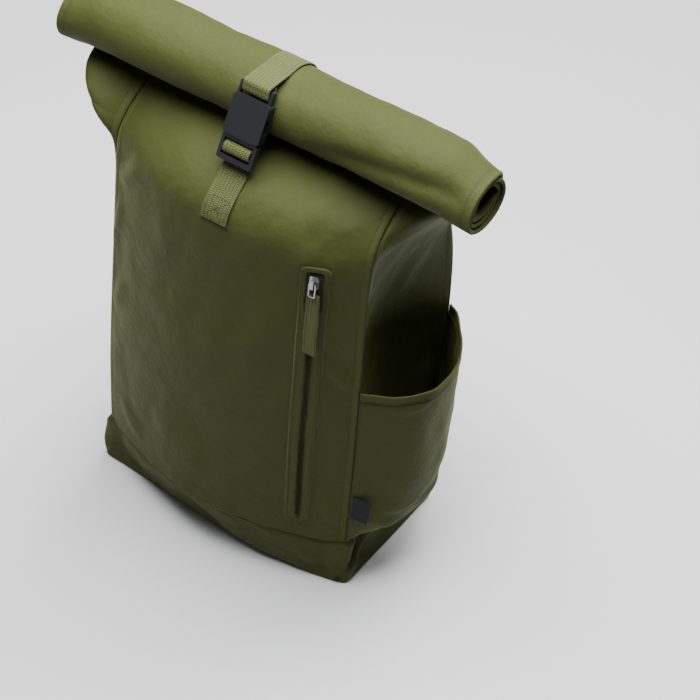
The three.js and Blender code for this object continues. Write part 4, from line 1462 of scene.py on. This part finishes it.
@dataclass
class Closure:
    """The closure strap: sewn webbing, side release buckle, and webbing over the roll."""

    front: Array
    finishes: Finishes
    stitches: Stitches
    y: float = -85.8
    z: float = 418.4
    lean: float = math.radians(64.3)
    ladder: tuple[tuple[float, float], ...] = (
        (-6, -6.5),
        (3, -6.6),
        (11, -6.4),
        (14.2, -4.2),
        (12.6, 0),
        (10.8, 3.2),
        (7.8, 4.1),
        (4.8, 3.2),
        (3.7, 0),
        (4.6, -3.2),
        (8.5, -4),
    )
    bar: tuple[tuple[float, float], ...] = (
        (67, -4.2),
        (61, -3.8),
        (55.8, -1.8),
        (55.8, 1.8),
        (60.5, 3.6),
        (66, 2.4),
    )

    def at(self, s: float, h: float) -> tuple[float, float]:
        """A point in the buckle's frame, s up it and h off its middle plane, as (y, z)."""
        c, d = math.cos(self.lean), math.sin(self.lean)
        return self.y + s * c - h * d, self.z + s * d + h * c

    def build(self, collar: Collar) -> None:
        """Builds both webbings and rounds the buckle's halves."""
        tape = Tape(self.finishes)
        z = np.array([0.888, 0.905, 0.925]) * SIZE.neck_z
        points, normals = on_grid(self.front, np.zeros(3), z)
        knots = [(p[1], p[2]) for p in points + normals]
        knots += [self.at(*k) for k in self.ladder]
        self._box_stitch(tape.build("front_webbing_tape", knots, "front_webbing"))
        knots = [self.at(*k) for k in self.bar]
        over = np.radians([100, 80, 60, 40, 20, 2])[:, None]
        point, n = collar.middle(over, np.array([[0.0]]))
        knots += [(p[1], p[2]) for p in (point + n * (collar.layer / 2 + 1.5))[:, 0]]
        knots.append((SIZE.neck_gap + 6.2, SIZE.neck_z + 12))
        for t in (12.6, 11.4, 10.2, 9.2):
            here, near = (
                np.array([BODY.at("rear_y", q) * SIZE.half_depth, BODY.at("rear_z", q) * SIZE.neck_z])
                for q in (t, t - 0.1)
            )
            d = unit(near - here)
            knots.append((here[0] - d[1] * 2.6, here[1] + d[0] * 2.6))
        tape.build("top_webbing_tape", knots, "top_webbing")
        for node in ("buckle_male", "buckle_female"):
            rounded_copy(node, 0.7, Slot.PLASTIC, self.finishes)

    def _box_stitch(self, path: Array) -> None:
        """The sewn box with its cross at the webbing's lower end."""
        run = path_lengths(path[:, 0][None], 1)[0]

        def point(x: float, s: float) -> Array:
            """A point on the webbing's face, x across and s along."""
            p, n = (np.array([np.interp(s, run, path[:, j, k]) for k in range(3)]) for j in (0, 1))
            return p + n * 0.95 + np.array([x, 0, 0])

        def line(a: tuple[float, float], b: tuple[float, float]) -> Array:
            """A straight row of points between two places on the webbing."""
            return np.array([point(x, s) for x, s in np.linspace(a, b, 12)])

        w, low, high = 10.2, 2.4, 20.0
        corners = [(-w, low), (w, low), (w, high), (-w, high), (-w, low)]
        rows = [line(a, b) for a, b in zip(corners, corners[1:])]
        rows += [line((-w, low), (w, high)), line((w, low), (-w, high))]
        self.stitches.build("anchor_stitches", rows, Slot.WEBBING)


def rounded_copy(node: str, width: float, slot: Slot, finishes: Finishes) -> bpy.types.Object:
    """A copy of a hard CAD piece with its edges rounded.

    Args:
        node: the CAD node.
        width: how wide the rounding is, in mm.
        slot: its material slot.
        finishes: the materials.

    Returns:
        The copy.
    """
    source = bpy.data.objects[node]
    obj = bpy.data.objects.new(node + "_rounded", source.data.copy())
    obj.data.transform(source.matrix_world)
    bpy.context.scene.collection.objects.link(obj)
    soften(obj, width)
    return finishes.dress(obj, slot, (node,))


@dataclass
class SideLabel:
    """The bare woven label, caught in the front right seam and lying on the pocket."""

    pocket: SidePocket
    finishes: Finishes
    low: float = 82.0
    high: float = 109.0
    forward: float = 0.25

    def build(self) -> None:
        """A small patch of the pocket's face turned forward off it, with a lifted free edge."""
        rows, cols = 30, 24
        p = self.pocket.surface(np.linspace(self.low, self.high, rows), np.linspace(0.004, 0.074, cols))
        s = np.linspace(0, 1, cols)[None]
        k = np.linspace(-1, 1, rows)[:, None]
        off = 0.9 + 0.4 * s * s + 0.3 * np.sin(3 * k + 2 * s)
        p = p + grid_normals(p) * off[..., None]
        p[..., 1] = p[:, :1, 1] + (p[..., 1] - p[:, :1, 1]) * self.forward
        masks = {"seam": 0 * p[..., 0], "wear": np.abs(k) ** 12 + 0 * s}
        obj = grid_object("side_label_cloth", p, masks=masks)
        thicken(obj, 0.6)
        self.finishes.dress(obj, Slot.LABEL, ("side_label",))


@dataclass
class CarryStraps:
    """The padded shoulder straps with their adjusters and lower webbing."""

    finishes: Finishes
    stitches: Stitches

    def build(self) -> None:
        """Builds both sides."""
        for name, sign in (("right", 1), ("left", -1)):
            self._pad(name, sign)
            rounded_copy("adjuster_" + name, 0.6, Slot.PLASTIC, self.finishes)
            self._lower(name, sign)

    def _pad(self, name: str, sign: int) -> None:
        """A stuffed strap: a superellipse section along the strap's line, pinched at its bound edges."""
        t = np.linspace(0, len(STRAP.rows) - 1, 150)
        x, y, z, width, thick = (STRAP.at(k, t) for k in STRAP.names)
        path = np.column_stack([sign * x * SIZE.half_width, y * SIZE.half_depth, z * SIZE.neck_z])
        d = unit(np.gradient(path[:, 1:], axis=0))
        up = np.column_stack([np.zeros(len(t)), -d[:, 1], d[:, 0]])
        across = np.broadcast_to([1.0, 0, 0], path.shape)
        rings = box_sweep(path, across, up, width, thick, ring=72, square=0.62)
        offset = rings - path[:, None]
        share = np.abs(offset[..., 0]) / (width[:, None] / 2)
        pinch = 1 - 0.45 * bell(share, 0.88, 0.05)
        run = path_lengths(path[None], 1)[0][:, None]
        soft = 1 + 0.05 * ripple(run + 0 * share, share * 60, 40, 61)
        offset[..., 1:] *= (pinch * soft)[..., None]
        obj = closed_sweep(f"shoulder_strap_{name}_pad", path[:, None] + offset)
        self.finishes.dress(obj, Slot.STRAP, ("shoulder_strap_" + name,))
        face = path + up * (thick[:, None] * 0.25 + 0.2)
        lines = [(face + across * (q * width[:, None] * 0.44))[8:-6] for q in (-1, 1)]
        self.stitches.build(f"strap_{name}_stitches", lines, Slot.STRAP)

    def _lower(self, name: str, sign: int) -> None:
        """The webbing from the adjuster down to the body's back."""
        low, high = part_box("adjuster_" + name)
        cy, cz = ((low[k] + high[k]) / 2 / MM for k in (1, 2))
        lean = math.radians(80)

        def at(s: float, h: float) -> tuple[float, float]:
            """A point in the adjuster's frame, as (y, z)."""
            return cy + s * math.cos(lean) - h * math.sin(lean), cz + s * math.sin(lean) + h * math.cos(lean)

        back = SIZE.half_depth + 1.2
        over = ((-11, -3.6), (-6.6, -3.2), (-5.2, 0), (-3.6, 3.3), (0, 3.9), (3.6, 3.3), (5.2, 0))
        under = ((4.4, -4.2), (0, -6.4), (-9, -7.4))
        knots = [at(*k) for k in over + under]
        knots += [(back + 17, 82.0), (back + 3, 65.0), (back, 54.0)]
        x = float(STRAP.rows[-1, 0]) * SIZE.half_width * sign
        Tape(self.finishes, thick=1.5).build(f"lower_webbing_{name}_tape", knots, "lower_webbing_" + name, x)


# Set


@dataclass(frozen=True)
class Shot:
    """The camera: bearing, height and roll in degrees, distance and target in mm, and lens in mm."""

    azimuth: float = 30.08
    elevation: float = 42.46
    roll: float = 5.86
    distance: float = 2542.8
    target: tuple[float, float, float] = (71.66, 0.0, 193.98)
    lens: float = 154.29

    def build(self) -> None:
        """Places the camera on its line of sight, turned about it by the roll."""
        az, el, roll = (math.radians(v) for v in (self.azimuth, self.elevation, self.roll))
        back = Vector((math.sin(az) * math.cos(el), -math.cos(az) * math.cos(el), math.sin(el)))
        right = Vector((math.cos(az), math.sin(az), 0))
        up = back.cross(right)
        turned = right * math.cos(roll) + up * math.sin(roll)
        upright = up * math.cos(roll) - right * math.sin(roll)
        place = Matrix((turned, upright, back)).transposed().to_4x4()
        place.translation = Vector(self.target) * MM + back * self.distance * MM
        data = bpy.data.cameras.new("camera")
        data.lens = self.lens
        data.sensor_width = 36
        camera = bpy.data.objects.new("camera", data)
        camera.matrix_world = place
        bpy.context.scene.collection.objects.link(camera)
        bpy.context.scene.camera = camera


@dataclass(frozen=True)
class Studio:
    """A pale floor, a large soft light from above and behind on the left, and weak fill."""

    floor: tuple[float, float, float] = (0.5, 0.504, 0.508)
    key: float = 74.0
    broad: float = 128.0
    fill: float = 3.0
    front: float = 9.0
    sky: float = 0.05

    def build(self) -> None:
        """Builds the floor, the lights and the world."""
        floor = grid_object("floor", self._plane())
        mat, n, shader = new_material("pale floor")
        noise = n.add("TexNoise", in_Vector=n.place(), in_Scale=3.0, in_Detail=2.0)
        shade = n.mix(noise.outputs[0], shaded(self.floor, 0.97), shaded(self.floor))
        n.put(shader, in_Base_Color=shade, in_Roughness=0.7)
        floor.data.materials.append(mat)
        self._light("key", (-0.05, -0.1, 1.45), 1.0, self.key)
        self._light("broad", (0.2, 1.7, 2.3), 1.8, self.broad)
        self._light("fill", (-2.2, 0.3, 1.0), 1.4, self.fill)
        self._light("front", (-0.4, -2.6, 0.9), 2.4, self.front)
        world = bpy.data.worlds.new("studio")
        bpy.context.scene.world = world
        world.use_nodes = True
        tree = world.node_tree
        Nodes(tree).put(tree.nodes["Background"], in_0=(0.93, 0.96, 1.0, 1), in_1=self.sky)

    @staticmethod
    def _plane() -> Array:
        """A flat grid 8 m across."""
        a = np.linspace(-4000, 4000, 9)
        y, x = np.meshgrid(a, a, indexing="ij")
        return np.stack([x, y, 0 * x], axis=-1)

    @staticmethod
    def _light(name: str, place: tuple[float, float, float], size: float, power: float) -> None:
        """One square area light aimed at the bag."""
        data = bpy.data.lights.new(name, "AREA")
        data.size = size
        data.energy = power
        light = bpy.data.objects.new(name, data)
        aim = Vector((0, 0, 0.3)) - Vector(place)
        light.matrix_world = Matrix.Translation(place) @ aim.to_track_quat("-Z", "Y").to_matrix().to_4x4()
        bpy.context.scene.collection.objects.link(light)


def seam_stitches(panels: Panels, pocket: SidePocket, boot: Boot, stitches: Stitches) -> None:
    """Rows of stitches beside the upright seams, under the pocket's hem and under the boot's seam."""
    rows: list[Array] = []
    for name in ("front_panel", "side_panel_right", "side_panel_left", "back_panel"):
        grid = panels.grids[name]
        lifted = grid + grid_normals(grid) * 0.1
        pick = np.arange(len(grid))
        for cloth, points in ((grid, lifted), (grid[:, ::-1], lifted[:, ::-1])):
            index = (path_lengths(cloth, 1) < SEAM_INSET).sum(axis=1)
            rows.append(points[pick, index][:-14])
    stitches.build("seam_stitches", rows)
    grid = pocket.grid
    n = grid_normals(grid)
    row = int(np.argmin(np.abs(grid[:, 0, 2] - (SIZE.pocket_rim - pocket.hem + 1.0))))
    stitches.build("pocket_stitches", [grid[row] + n[row] * 0.15])
    ring = (boot.outer - grid_normals(boot.outer, wrap=True) * 0.15)[5]
    stitches.build("boot_stitches", [np.concatenate([ring, ring[:1]])])


def main() -> None:
    """Builds the bag piece by piece, then the studio and the camera."""
    logging.basicConfig(level=logging.INFO, format="%(name)s: %(message)s")
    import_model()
    finishes = Finishes().build()
    stitches = Stitches(finishes)
    shape = BagShape()
    panels = Panels(shape, finishes)
    panels.build()
    boot = Boot(shape, finishes)
    boot.build()
    collar = Collar(finishes)
    collar.build()
    pocket = SidePocket(shape, finishes)
    pocket.build()
    Zip(panels.grids["front_panel"], finishes, stitches).build()
    for node in ("zip_slider", "zip_bail"):
        rounded_copy(node, 0.3, Slot.METAL, finishes)
    Closure(panels.grids["front_panel"], finishes, stitches).build(collar)
    SideLabel(pocket, finishes).build()
    CarryStraps(finishes, stitches).build()
    seam_stitches(panels, pocket, boot, stitches)
    Studio().build()
    Shot().build()


if __name__ == "__main__":
    main()
